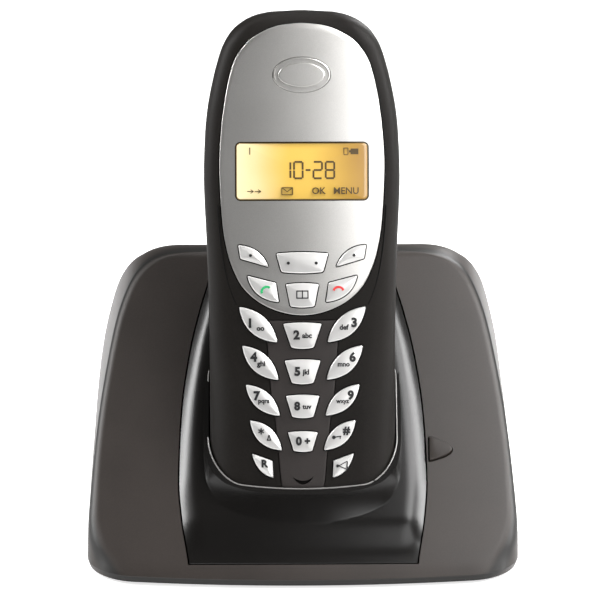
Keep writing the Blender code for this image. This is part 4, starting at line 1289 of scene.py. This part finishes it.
@dataclass
class Keypad:
    """Twenty keys with their printed digits, letters and icons."""

    proud: float = 1.05
    bottom: float = 2.4
    edge: float = 0.42
    bulge: float = 0.30
    ring_points: int = 72
    digits: dict[str, tuple] = field(default_factory=lambda: {
        "key_1": (("1", 3.3, -14.1, 56.2), ("oo", 1.9, -11.3, 54.9)),
        "key_4": (("4", 3.3, -13.1, 47.1), ("ghi", 1.9, -11.1, 45.4)),
        "key_7": (("7", 3.2, -12.4, 36.7), ("pqrs", 1.7, -10.5, 35.4)),
        "key_3": (("3", 3.3, 13.9, 56.3), ("def", 1.9, 11.1, 55.1)),
        "key_6": (("6", 3.3, 13.4, 47.0), ("mno", 1.8, 11.0, 45.2)),
        "key_9": (("9", 3.2, 12.9, 36.8), ("wxyz", 1.6, 10.7, 35.3)),
        "key_2": (("2", 3.2, -1.6, 53.0), ("abc", 1.9, 1.2, 52.9)),
        "key_5": (("5", 3.1, -1.4, 43.2), ("jkl", 1.9, 0.9, 43.1)),
        "key_8": (("8", 3.0, -1.5, 33.9), ("tuv", 1.8, 1.1, 33.8)),
        "key_0": (("0", 3.0, -1.1, 24.5), ("+", 2.6, 1.2, 24.5)),
        "key_hash": (("#", 2.9, 11.7, 27.4),),
        "key_r": (("R", 2.7, -10.4, 18.5),)})

    def leaf(self, top: Sequence[float], low: Sequence[float], upper: float, lower: float) -> Array:
        """Lens between two tips, bulging by upper and lower at its middle."""
        top, low = np.asarray(top, float), np.asarray(low, float)
        across = low - top
        normal = np.array([-across[1], across[0]]) / np.linalg.norm(across)
        middle = (top + low) / 2
        return np.vstack([[top], bezier(top, middle + normal * 2 * upper, low, 24), [low],
                          bezier(low, middle - normal * 2 * lower, top, 24)])

    def wedge(self, top: float, top_half: float, low: float, low_half: float, crown: float = 0.35) -> Array:
        """Centre key: a trapezoid, wide at the top, with crowned ends."""
        return np.vstack([[(-top_half, top)],
                          bezier((-top_half, top), (0, top + 2 * crown), (top_half, top)),
                          [(top_half, top), (low_half, low)],
                          bezier((low_half, low), (0, low - 2 * crown), (-low_half, low)),
                          [(-low_half, low)]])

    def outlines(self) -> dict[str, Array]:
        """Softened outlines of the keys: the left ones and their mirrored partners, then the centre.

        Returns:
            Each key's outline, by its node's name.
        """
        soft = np.vstack([[(-17.2, 77.3)], bezier((-17.2, 77.3), (-11.2, 77.0), (-9.1, 71.4)),
                          [(-9.1, 71.4), (-16.6, 73.6)]])
        talk = np.vstack([[(-14.8, 69.1), (-7.1, 67.1), (-6.3, 61.9)],
                          bezier((-6.3, 61.9), (-13.4, 62.6), (-14.8, 69.1))])
        small = np.vstack([[(-13.7, 21.3), (-8.2, 19.3), (-8.0, 14.8)],
                           bezier((-8.0, 14.8), (-12.3, 15.6), (-13.7, 21.3))])
        left = {"key_1": self.leaf((-17.0, 60.7), (-6.7, 51.1), 2.5, 2.8),
                "key_4": self.leaf((-16.2, 50.3), (-6.4, 41.0), 2.45, 2.7),
                "key_7": self.leaf((-15.3, 39.8), (-6.1, 31.4), 2.3, 2.5),
                "key_star": self.leaf((-14.2, 30.2), (-5.6, 22.1), 2.2, 2.4),
                "soft_key_left": soft, "talk_key": talk, "key_r": small}
        partner = {"key_1": "key_3", "key_4": "key_6", "key_7": "key_9", "key_star": "key_hash",
                   "soft_key_left": "soft_key_right", "talk_key": "end_key", "key_r": "key_mute"}
        shapes = dict(left)
        shapes.update({partner[name]: mirrored(outline) for name, outline in left.items()})
        shapes.update({"key_2": self.wedge(56.1, 5.2, 49.7, 3.0), "key_5": self.wedge(46.2, 4.84, 40.2, 2.9),
                       "key_8": self.wedge(36.7, 4.5, 31.1, 2.85), "key_0": self.wedge(26.9, 4.0, 22.0, 2.5),
                       "directory_key": self.wedge(66.7, 4.4, 60.8, 3.25),
                       "menu_rocker": self.wedge(75.0, 7.0, 70.0, 5.6)})
        return {name: soften(outline, self.ring_points) for name, outline in shapes.items()}

    def cap(self, name: str, outline: Array) -> bpy.types.Object:
        """Key cap: straight sides, an edge rounded as a quarter circle, and a pillowed top.

        The top rises by bulge * (1 - s^2), where s runs from 1 at the edge to 0 at the middle,
        and each ring is the one before it smoothed, so the corners melt away inwards.

        Args:
            name: the key's node.
            outline: its edge.

        Returns:
            The cap.
        """
        centre = outline.mean(axis=0)
        angle = np.linspace(0, math.pi / 2, 7)
        rings = [HANDSET.flat(outline, self.bottom)]
        rings += [HANDSET.flat(offset(outline, -self.edge * (1 - math.cos(a))),
                               -self.proud + self.bulge + self.edge * (1 - math.sin(a))) for a in angle]
        inner = offset(outline, -self.edge)
        for s in np.linspace(1, 0.04, 11)[1:]:
            for _ in range(5):
                inner = (np.roll(inner, 1, 0) + 2 * inner + np.roll(inner, -1, 0)) / 4
            rings.append(HANDSET.flat(centre + (inner - centre) * s,
                                      -self.proud + self.bulge - self.bulge * (1 - s * s)))
        return loft(f"{name}_cap", np.array(rings), 60)

    def print_depths(self) -> tuple[float, float]:
        """Depths between which every printed mark stands on a key's top."""
        return -self.proud - 0.03, -self.proud + 0.35

    def bar(self, x0: float, t0: float, x1: float, t1: float, width: float = 0.3) -> bpy.types.Object:
        """Straight printed stroke between two points."""
        return stroke((x0, t0), (x1, t1), width, *self.print_depths())

    def dot(self, x: float, t: float, radius: float = 0.42) -> bpy.types.Object:
        """Round printed dot."""
        return face_prism("dot", ellipse((x, t), (radius, radius), 20), *self.print_depths())

    def receiver(self, x: float, t: float, tilt: float) -> list[bpy.types.Object]:
        """Handset sign: a curved bar with a block at each end, turned by tilt degrees."""
        outer = arc((0, -1.5), (2.2, 2.2), 40, 140, 14)
        inner = arc((0, -1.5), (1.45, 1.45), 140, 40, 14)
        shape = np.vstack([outer, [(-2.0, -0.75), (-1.15, -0.95)], inner, [(1.15, -0.95), (2.0, -0.75)]])
        turn = math.radians(tilt)
        spin = np.array([[math.cos(turn), math.sin(turn)], [-math.sin(turn), math.cos(turn)]])
        return [face_prism("receiver", shape @ spin * 0.8 + (x, t), *self.print_depths())]

    def star(self, x: float, t: float, reach: float = 0.85) -> list[bpy.types.Object]:
        """Six-armed star of three crossed strokes."""
        arms = [(reach * math.cos(a), reach * math.sin(a)) for a in np.radians([90, 30, 150])]
        return [self.bar(x - i, t - j, x + i, t + j, 0.34) for i, j in arms]

    def icon(self, name: str) -> list[bpy.types.Object]:
        """Drawn marks of a key that carries no digit.

        Args:
            name: the key's node.

        Returns:
            Its marks, or none.
        """
        bar, dot = self.bar, self.dot
        drawings: dict[str, Callable[[], list[bpy.types.Object]]] = {
            "soft_key_left": lambda: [dot(-13.9, 74.5)],
            "soft_key_right": lambda: [dot(13.9, 74.5)],
            "menu_rocker": lambda: [dot(-3.75, 72.4), dot(3.75, 72.4)],
            "talk_key": lambda: self.receiver(-10.2, 65.6, 35),
            "end_key": lambda: self.receiver(9.7, 65.7, 0),
            "directory_key": lambda: [bar(-1.6, 63.0, 1.6, 63.0), bar(-1.6, 64.9, 1.6, 64.9),
                                      bar(-1.5, 62.9, -1.5, 65.0), bar(1.5, 62.9, 1.5, 65.0),
                                      bar(0, 62.8, 0, 65.1)],
            "key_star": lambda: self.star(-11.2, 27.3) + [bar(-9.7, 24.9, -8.5, 24.9),
                                                          bar(-9.5, 25.0, -9.1, 26.3),
                                                          bar(-9.1, 26.3, -8.7, 25.0)],
            "key_hash": lambda: [bar(8.3, 25.6, 10.3, 25.9, 0.32), dot(8.3, 25.6, 0.5),
                                 bar(10.0, 25.9, 10.0, 25.2, 0.28)],
            "key_mute": lambda: [bar(9.6, 17.9, 11.9, 19.2, 0.25), bar(9.6, 17.9, 11.9, 16.9, 0.25),
                                 bar(11.9, 16.9, 11.9, 19.2, 0.25), dot(9.3, 17.9, 0.42)]}
        return drawings[name]() if name in drawings else []

    def build(self, outlines: dict[str, Array]) -> None:
        """Makes each cap and its print, and ties both to the key's own body.

        Args:
            outlines: each key's outline, by its node's name.
        """
        inks = {"talk_key": Finish.GREEN_INK, "end_key": Finish.RED_INK}
        for name, outline in outlines.items():
            body = f"{name}_body"
            install(self.cap(name, outline), Finish.PEARL, body, "pearl", name)
            marks = self.icon(name)
            for text, height, x, t in self.digits.get(name, ()):
                bold = 0.055 if height > 2.4 else 0.04
                marks.append(lettering(text, height, (x, t), *self.print_depths(), bold))
            install(joined(f"{name}_print", marks), inks.get(name, Finish.INK), body, "pearl")


# ==== base ===================================================================================
@dataclass
class BaseCover:
    """The base's casing: a wedge with an arched outline and softly rounded edges."""

    height: float = 70.0
    ridge_radius: float = 6.0
    back_wall: float = 20.0
    wall: float = 2.0
    gap: float = 0.3
    sides: Table = ((0.9, 57.6), (2.5, 58.15), (10, 58.0), (22.0, 57.0), (35.0, 55.3), (48.0, 52.6),
                    (54.6, 50.8), (59.5, 48.8), (62.8, 46.9), (65.4, 44.6), (67.4, 41.6), (68.8, 37.6),
                    (69.5, 32.0), (69.85, 22.0), (70.0, 4.0))
    corner: Table = ((0.9, 12.0), (4.0, 11.2), (9.0, 6.0), (15.0, 3.0), (30.0, 2.2), (70.0, 2.0))
    levels: int = 90
    insert_table: Table = ((7.0, 30.5), (10.5, 31.1), (18.8, 32.5), (28.5, 33.3), (37.5, 33.1), (49.0, 32.4),
                           (64.0, 30.2), (74.7, 27.6), (82.3, 25.3))
    underside: float = 0.9
    hollow_drop: float = 2.0
    hollow_top: float = 66.5

    def front_y(self, z: Array) -> Array:
        """Front of the casing on its middle line: low wall, sloping panel, then the ridge's arc.

        Args:
            z: heights.

        Returns:
            The distance from the front at each height.
        """
        slope = math.tan(SLOPE.angle)
        ridge_z = self.height - self.ridge_radius
        ridge_y = self.ridge_y()
        panel = 1 + (z - SLOPE.wall) / slope
        wall = 0.35 * np.maximum(0, (2.2 - z) / 1.3) ** 2 + np.maximum(0, z - 2.4) ** 2 * 0.39
        arc_y = ridge_y - np.sqrt(np.maximum(0, self.ridge_radius ** 2 - (z - ridge_z) ** 2))
        upper = np.where(z < ridge_z + self.ridge_radius * math.cos(SLOPE.angle), panel, arc_y)
        return np.where(z < SLOPE.wall, wall, upper)

    def ridge_y(self) -> float:
        """Where the ridge's axis stands, so that its arc meets the panel smoothly."""
        ridge_z = self.height - self.ridge_radius
        return 1 + (ridge_z - SLOPE.wall) / math.tan(SLOPE.angle) + self.ridge_radius / math.sin(SLOPE.angle)

    def back_y(self, z: Array) -> Array:
        """Back at height z: upright wall, then a quarter ellipse up to the ridge."""
        share = np.maximum(0, (z - self.back_wall) / (self.height - self.back_wall))
        return self.ridge_y() + (BASE_DEPTH - self.ridge_y()) * np.sqrt(np.maximum(0, 1 - share ** 2))

    def rings(self, inset: float = 0.0, lift: float = 0.0, top: float = 70.0) -> Array:
        """Plan rings at rising heights: bowed front, round corner, side, round corner, back.

        Heights crowd together near the top as the sine of an angle, where the form closes fast.

        Args:
            inset: how far the walls stand in, for the hollow.
            lift: how much higher the form is read, which thickens its roof.
            top: height of the last ring.

        Returns:
            (levels, points, 3) places in metres.
        """
        u = np.linspace(0, 1, self.levels)
        start = self.underside - (self.hollow_drop if inset else 0)
        z = (start + (top - start) * np.sin(u * math.pi / 2) ** 0.9)[:, None]
        high = np.minimum(z + lift, self.height)
        half = smooth(self.sides, high) - inset
        front = np.maximum(self.front_y(high), self.front_y(z) + inset)
        back = np.maximum(self.back_y(high) - inset, front + 1.0)
        corner = np.minimum(np.minimum(smooth(self.corner, z), half / 2), (back - front) / 3)
        rear = np.minimum(np.minimum(9.0, half / 2), (back - front) / 2.5)
        angle = np.radians(np.linspace(-90, 0, 14))[None, :]
        room = np.maximum(0, back - front - 4)
        across = np.linspace(0, 1, 18)[None, :-1]
        front_x = across * (half - corner)
        front_d = front + 0 * front_x
        arc_x = half - corner + corner * np.cos(angle)
        arc_d = front + corner + corner * np.sin(angle)
        rear_x = half - rear + rear * np.cos(angle + math.pi / 2)
        rear_d = back - rear + rear * np.sin(angle + math.pi / 2)
        back_x = (half - rear) * (1 - np.linspace(0, 1, 10)[None, 1:])
        back_d = back + 0 * back_x
        x = np.hstack([front_x, arc_x, rear_x, back_x])
        d = np.hstack([front_d, arc_d, rear_d, back_d])
        fade = np.hstack([np.ones_like(front_x), np.ones_like(arc_x),
                          np.zeros_like(rear_x), np.zeros_like(back_x)])
        d = d + fade * np.minimum(SLOPE.bow * (x / SLOPE.half_width) ** 2, room)
        x = np.hstack([x, -x[:, -2:0:-1]])
        d = np.hstack([d, d[:, -2:0:-1]])
        return to_world(stack(x, d, z + 0 * x))

    def insert_grid(self, lift: float, grow: float = 0.0, rows: int = 60, columns: int = 41) -> Array:
        """Points on the panel inside the insert's outline, in millimetres."""
        first, last = self.insert_table[0][0] - grow, self.insert_table[-1][0] + grow
        v = np.linspace(first, last, rows)[:, None]
        x = (smooth(self.insert_table, v) + grow) * np.linspace(-1, 1, columns)[None, :]
        return SLOPE.point(x, v + 0 * x, lift)

    def build(self) -> None:
        """Casing with its openings, then the paging key."""
        cover = loft("base_casing", self.rings())
        drop = self.wall / math.cos(SLOPE.angle)
        carve(cover, [loft("hollow", self.rings(self.wall, drop, self.hollow_top))])
        top = self.insert_grid(4.0, 0.45)
        low = top.copy()
        low[..., 2] = 2.4
        carve(cover, [slab("opening", to_world(top), to_world(low))])
        carve(cover, [self.paging_prism("paging_hole", self.gap, 3.0, 5.0)])
        gates = []
        for node in ("line_jack", "power_jack"):
            lowest, highest = (np.array(c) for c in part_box(node))
            half = (highest - lowest) / 2 + self.gap * MM
            centre = (highest + lowest) / 2
            ring = rounded_box(half[0], half[2], 0.4 * MM, (centre[0], centre[2]), 4)
            gates.append(loft("gate", np.array([stack(ring[:, 0], y, ring[:, 1])
                                                for y in (highest[1] - 8 * MM, highest[1] + 3 * MM)])))
        carve(cover, [joined("gates", gates)])
        install(cover, Finish.GRAPHITE, "base", "graphite", "base_top_cover")
        key = self.paging_prism("paging_button", 0.0, 0.6, 4.0, 0.25)
        install(key, Finish.GRAPHITE_KEY, "paging_key_body", "graphite", "paging_key")

    def paging_prism(self, name: str, grow: float, proud: float, depth: float,
                     bevel: float = 0.0) -> bpy.types.Object:
        """Prism of the D-shaped key through the panel, along the panel's normal.

        Args:
            name: the piece's name.
            grow: how far its sides move outwards.
            proud: how far it stands over the panel.
            depth: how far it reaches under the panel.
            bevel: radius of its rounded edge, or 0 for a crisp one.

        Returns:
            The prism.
        """
        flat_x, tip_x, v, half = 34.3, 40.5, 36.9, 3.2
        shape = np.vstack([[(flat_x, v - half)],
                           bezier((flat_x, v - half), (2 * tip_x - flat_x, v), (flat_x, v + half), 24),
                           [(flat_x, v + half)]])
        shape = offset(soften(shape, 64, 3), grow)
        plane = SLOPE.point(np.full(len(shape), flat_x), shape[:, 1])
        plane[:, 0] = shape[:, 0]
        normal = np.array([0, -math.sin(SLOPE.angle), math.cos(SLOPE.angle)])
        centre = plane.mean(axis=0)
        rings = [plane - normal * depth]
        for a in np.linspace(0, math.pi / 2, 5) if bevel else [math.pi / 2]:
            shrink = bevel * (1 - math.cos(a)) / 3.0 if bevel else 0.0
            rise = normal * (proud - bevel * (1 - math.sin(a)))
            rings.append(centre + (plane - centre) * (1 - shrink) + rise)
        return loft(name, to_world(np.array(rings)))


@dataclass
class Cradle:
    """Glossy insert with the flared lip that holds the handset's lower end."""

    cover: BaseCover
    thickness: float = 2.6
    clearance: float = 0.42
    tub_wall: float = 1.5
    lip_height: float = 22.3
    lip_y: float = 12.8
    merge_y: float = 54.0
    rim: Table = ((26.0, 70.0), (26.3, 60.0), (26.7, 46.0), (26.6, 40.0), (25.8, 34.2), (23.7, 30.6),
                  (20.3, 28.0), (13.0, 26.0), (5.0, 25.3), (0.0, 25.2))
    foot: Table = ((26.6, 70.0), (27.4, 60.0), (29.3, 41.0), (30.3, 29.5), (29.8, 22.8), (26.6, 18.2),
                   (21.4, 14.9), (13.8, 12.7), (5.0, 11.9), (0.0, 11.8))
    collar_height: float = 2.3
    collar_width: float = 5.2
    pin_place: Sequence[float] = (7.0, 9.0)

    def loop(self, points: Table, count: int = 72) -> Array:
        """Smooth open curve (x, v) through the points, from the right's top to the middle."""
        points = np.asarray(points, float)
        run = np.concatenate([[0], np.cumsum(np.linalg.norm(np.diff(points, axis=0), axis=1))])
        places = np.linspace(0, run[-1], count)
        return stack(smooth(stack(run, points[:, 0]), places), smooth(stack(run, points[:, 1]), places))

    def collar(self, x: Array, v: Array) -> Array:
        """Rise of the insert's flanks: a parabola inwards from the edge, fading out at the apron."""
        edge = smooth(self.cover.insert_table, v) - np.abs(x)
        share = 1 - np.clip(1 - edge / self.collar_width, 0, 1) ** 2
        fade = np.clip((v - 8.5) / 9.0, 0, 1) * np.clip((82.3 - v) / 4.0, 0, 1)
        return self.collar_height * share * fade ** 2 * (3 - 2 * fade)

    def rim_slope(self) -> float:
        """Rise of the plane that the lip's rim lies in."""
        return (SLOPE.z(0.0, self.merge_y) - self.lip_height) / (self.merge_y - self.lip_y)

    def rim_highlight_bead(self) -> bpy.types.Object:
        """Fine round bead along the mouth, pale grey as a painted highlight on the rim's edge: where each
        line of the pocket's form crosses the rim's plane.

        Returns:
            The bead, open at the back where the mouth runs out on the panel.
        """
        form = self.envelope_points(Shells(), self.clearance + 0.14, None)
        flat = form / MM + (0, BASE_DEPTH / 2, 0)
        over = flat[..., 2] - (self.lip_height + self.rim_slope() * (flat[..., 1] - self.lip_y))
        column = np.arange(flat.shape[1])
        row = np.argmax(over > 0, axis=0)
        share = (over[row - 1, column] / (over[row - 1, column] - over[row, column]))[:, None]
        path = flat[row - 1, column] * (1 - share) + flat[row, column] * share
        middle = np.argmax(path[:, 1])
        path = np.roll(path, -middle, axis=0)
        path = path[path[:, 2] > SLOPE.z(path[:, 0], path[:, 1]) - 0.2]
        start = np.argmax(np.linalg.norm(np.diff(path, axis=0, append=path[:1]), axis=1)) + 1
        path = np.roll(path, -start, axis=0)
        run = np.concatenate([[0], np.cumsum(np.linalg.norm(np.diff(path, axis=0), axis=1))])
        even = np.linspace(0, run[-1], 260)
        path = stack(*(np.interp(even, run, path[:, k]) for k in range(3)))
        return ribbon("lip_highlight_bead", to_world(path), 0.2 * MM)

    def lip(self) -> bpy.types.Object:
        """The lip: rings from the foot on the panel up to the rim.

        Each ring lies between foot and rim. Its height falls as s and its spread grows as
        1 - (1 - s^p)^(1/p), so the wall starts upright at the rim and meets the panel softly.
        The power p grows from the front, where the wall leans, to the flanks, where it is hollow.

        Returns:
            The lip as a closed solid.
        """
        slope = self.rim_slope()
        rim, foot = self.loop(self.rim), self.loop(self.foot)
        sin, cos = math.sin(SLOPE.lean), math.cos(SLOPE.lean)
        rim_y = (rim[:, 1] - (self.lip_height - slope * self.lip_y) * cos) / (slope * cos + sin)
        rim_points = stack(rim[:, 0], rim_y, self.lip_height + slope * (rim_y - self.lip_y))
        foot_points = SLOPE.point(foot[:, 0], foot[:, 1])
        power = 1.15 + 1.25 * np.clip((rim[:, 1] - 25.2) / 12, 0, 1)
        rings = [foot_points - (0, 0, 1.6)]
        for s in np.linspace(1, 0, 24):
            spread = 1 - (1 - s ** power) ** (1 / power)
            rings.append(rim_points + (foot_points - rim_points) * stack(spread, spread, s))
        body = np.array(rings)
        flip = body[:, -2::-1] * (-1, 1, 1)
        return loft("lip", to_world(np.concatenate([body, flip], axis=1)), 40)

    def build(self) -> None:
        """Plate, tub and lip as one body, with the handset's pocket cut out of it."""
        flat = self.cover.insert_grid(0.0, rows=90, columns=71)
        v = flat[..., 2] * math.cos(SLOPE.lean) + flat[..., 1] * math.sin(SLOPE.lean)
        top = flat + self.collar(flat[..., 0], v)[..., None] * (0, -0.35, 0.9)
        plate = slab("cradle_insert", to_world(top), to_world(flat - (0, 0, self.thickness)), 50)
        shells = Shells()
        tub = self.envelope("tub", shells, self.clearance + self.tub_wall, 60.0)
        under = self.cover.insert_grid(-0.7, -1.3)
        floor = under * (1, 1, 0) - (0, 0, 5)
        carve(tub, [slab("under", to_world(under), to_world(floor))], "INTERSECT")
        carve(plate, [tub], "UNION")
        carve(plate, [self.lip()], "UNION")
        carve(plate, [self.envelope("pocket", shells, self.clearance, None)])
        pins = []
        for side in (-1, 1):
            ring = ellipse((side * self.pin_place[0], self.pin_place[1]), (1.5, 1.5), 24)
            ends = np.array([[-6.0], [3.0]])
            pins.append(loft("pin", HANDSET.place(ring[None, :, 0], ends, ring[None, :, 1])))
        carve(plate, [joined("pins", pins)])
        install(plate, Finish.GLOSS, "base", "gloss_black", "cradle")
        install(self.rim_highlight_bead(), Finish.HIGHLIGHT_BEAD, "base", "gloss_black")

    def envelope(self, name: str, shells: Shells, grow: float, last: Optional[float]) -> bpy.types.Object:
        """Closed body of the handset's grown form."""
        return loft(name, self.envelope_points(shells, grow, last))

    def envelope_points(self, shells: Shells, grow: float, last: Optional[float]) -> Array:
        """Rings of the handset's form grown all round.

        Args:
            shells: the handset's casings.
            grow: how far every face moves outwards.
            last: the station to stop at, or None for the top.

        Returns:
            (stations, points, 3) places in metres.
        """
        t = HANDSET.stations(90)
        if last is not None:
            t = np.append(t[t < last], last)
        t = t[:, None]
        half, front, back, face, rear = shells.ring(t, grow)
        corner = np.radians(np.linspace(0, 90, 12))[None, :]
        across = np.linspace(1, -1, 26)[None, 1:-1]
        face_x, face_d = half - face + face * np.sin(corner), front + face - face * np.cos(corner)
        rear_x, rear_d = half - rear + rear * np.cos(corner), back - rear + rear * np.sin(corner)
        x = np.hstack([face_x, rear_x, (half - rear) * across, -rear_x[:, ::-1], -face_x[:, ::-1],
                       -(half - face) * across])
        d = np.hstack([face_d, rear_d, back + 0 * across, rear_d[:, ::-1], face_d[:, ::-1],
                       front + 0 * across])
        t = t + 0 * x
        t[0] -= grow
        return HANDSET.place(x, t, d)


# ==== carried-over nodes =====================================================================
class Fittings:
    """Finishes for the frame's own nodes that keep their shape."""

    WEARERS = {
        Finish.GRAPHITE_PLAIN: ("base_bottom_cover",),
        Finish.BOARD: ("base_circuit_board", "handset_circuit_board"),
        Finish.DARK: ("paging_switch", "line_jack", "power_jack", "earpiece_speaker", "microphone", "ringer"),
        Finish.STEEL: ("base_antenna", "handset_antenna", "battery_spring_left", "battery_spring_right",
                       *(f"base_screw_{i}" for i in range(1, 5))),
        Finish.GOLD: ("charge_contact_left", "charge_contact_right", "handset_contact_left",
                      "handset_contact_right"),
        Finish.AMBER: ("display_panel",),
        Finish.RUBBER: ("keypad_mat", *(f"foot_{i}" for i in range(1, 5))),
        Finish.CELL: ("battery_cell_left", "battery_cell_right")}

    def build(self) -> None:
        """Dresses every carried-over node."""
        for finish, nodes in self.WEARERS.items():
            for node in nodes:
                WARDROBE.dress(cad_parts[node], finish)
                log.info("%s wears %s", node, finish.name)


# ==== studio =================================================================================
@dataclass
class Studio:
    """Pale floor, soft lights and a long-lens camera just above the phone."""

    azimuth: float = -0.6
    elevation: float = 20.0
    lens: float = 320.0
    width_at_subject: float = 165.2
    target: Sequence[float] = (0.7, -10.0, 64.7)
    sensor: float = 36.0
    surround: float = 0.11

    def light(self, name: str, place: Sequence[float], size: Sequence[float], power: float) -> None:
        """Rectangular soft light turned towards the middle of the phone.

        Args:
            name: what it lights or where it stands.
            place: its middle in metres.
            size: its width and height in metres.
            power: watts.
        """
        data = bpy.data.lights.new(name, "AREA")
        data.shape = "RECTANGLE"
        data.size, data.size_y = size
        data.energy = power
        obj = bpy.data.objects.new(name, data)
        bpy.context.scene.collection.objects.link(obj)
        obj.location = place
        aim = Vector((0, 0, 0.07)) - Vector(place)
        obj.rotation_euler = aim.to_track_quat("-Z", "Y").to_euler()

    def camera(self) -> None:
        """Camera on a sphere round the target, at the distance that fills the frame."""
        data = bpy.data.cameras.new("camera")
        data.lens, data.sensor_width = self.lens, self.sensor
        distance = self.lens * self.width_at_subject / self.sensor * MM
        a, e = math.radians(self.azimuth), math.radians(self.elevation)
        back = Vector((math.sin(a) * math.cos(e), -math.cos(a) * math.cos(e), math.sin(e)))
        obj = bpy.data.objects.new("camera", data)
        bpy.context.scene.collection.objects.link(obj)
        obj.location = Vector(self.target) * MM + back * distance
        obj.rotation_euler = (-back).to_track_quat("-Z", "Y").to_euler()
        bpy.context.scene.camera = obj

    def floor(self) -> None:
        """Pale floor, dimmer in front of the phone so that it isn't mirrored in the gloss."""
        grid = stack(*np.meshgrid(np.linspace(-3, 3, 2), np.linspace(-3, 3, 2)), 0.0)
        mesh = bpy.data.meshes.new("floor")
        mesh.from_pydata(grid.reshape(-1, 3).tolist(), [], [(0, 1, 3, 2)])
        floor = bpy.data.objects.new("floor", mesh)
        bpy.context.scene.collection.objects.link(floor)
        g = Graph("pale_floor", roughness=0.9, specular_ior_level=0.1, emission_strength=1.0)
        near = g.axis("Y").ramp(-0.30, -0.08)
        cloud = g.mix(g.noise(3.0, 2.0), (0.60, 0.60, 0.60), (0.62, 0.62, 0.62))
        g.feed("Base Color", g.mix(near, (0.34, 0.34, 0.34), cloud))
        g.feed("Emission Color", g.mix(near, (0.12, 0.12, 0.12), (0.70, 0.70, 0.70)))
        mesh.materials.append(g.material)

    def surroundings(self) -> None:
        """Even white surroundings, shown without a tone curve."""
        world = bpy.data.worlds.new("studio")
        world.use_nodes = True
        background = world.node_tree.nodes["Background"].inputs
        background["Color"].default_value = (1, 1, 1, 1)
        background["Strength"].default_value = self.surround
        bpy.context.scene.world = world
        bpy.context.scene.view_settings.view_transform = "Standard"

    def build(self) -> None:
        """Floor, surroundings, lights and camera."""
        self.floor()
        self.surroundings()
        self.light("front_right", (0.50, -0.93, 0.66), (0.60, 0.6), 6.8)
        self.light("upper_right", (0.22, -0.11, 0.43), (0.17, 0.24), 1.9)
        self.light("left_strip", (-0.66, 0.06, 0.44), (0.14, 0.62), 10.0)
        self.light("back_right", (0.17, 0.30, 0.26), (0.10, 0.16), 0.9)
        self.light("right_strip", (0.66, 0.02, 0.46), (0.20, 0.70), 12.5)
        self.light("overhead", (-0.10, 0.50, 1.1), (0.9, 0.5), 4.0)
        self.camera()


def main() -> None:
    """Builds the phone from its base up, then the studio."""
    Studio().build()
    keypad = Keypad()
    outlines = keypad.outlines()
    face = FacePlate()
    shells = Shells()
    shells.front(outlines, face.plate_outline(), face.strip_outline())
    shells.back()
    face.build(outlines)
    keypad.build(outlines)
    cover = BaseCover()
    cover.build()
    Cradle(cover).build()
    Fittings().build()


if __name__ == "__main__":
    logging.basicConfig(level=logging.INFO, format="%(message)s")
    main()
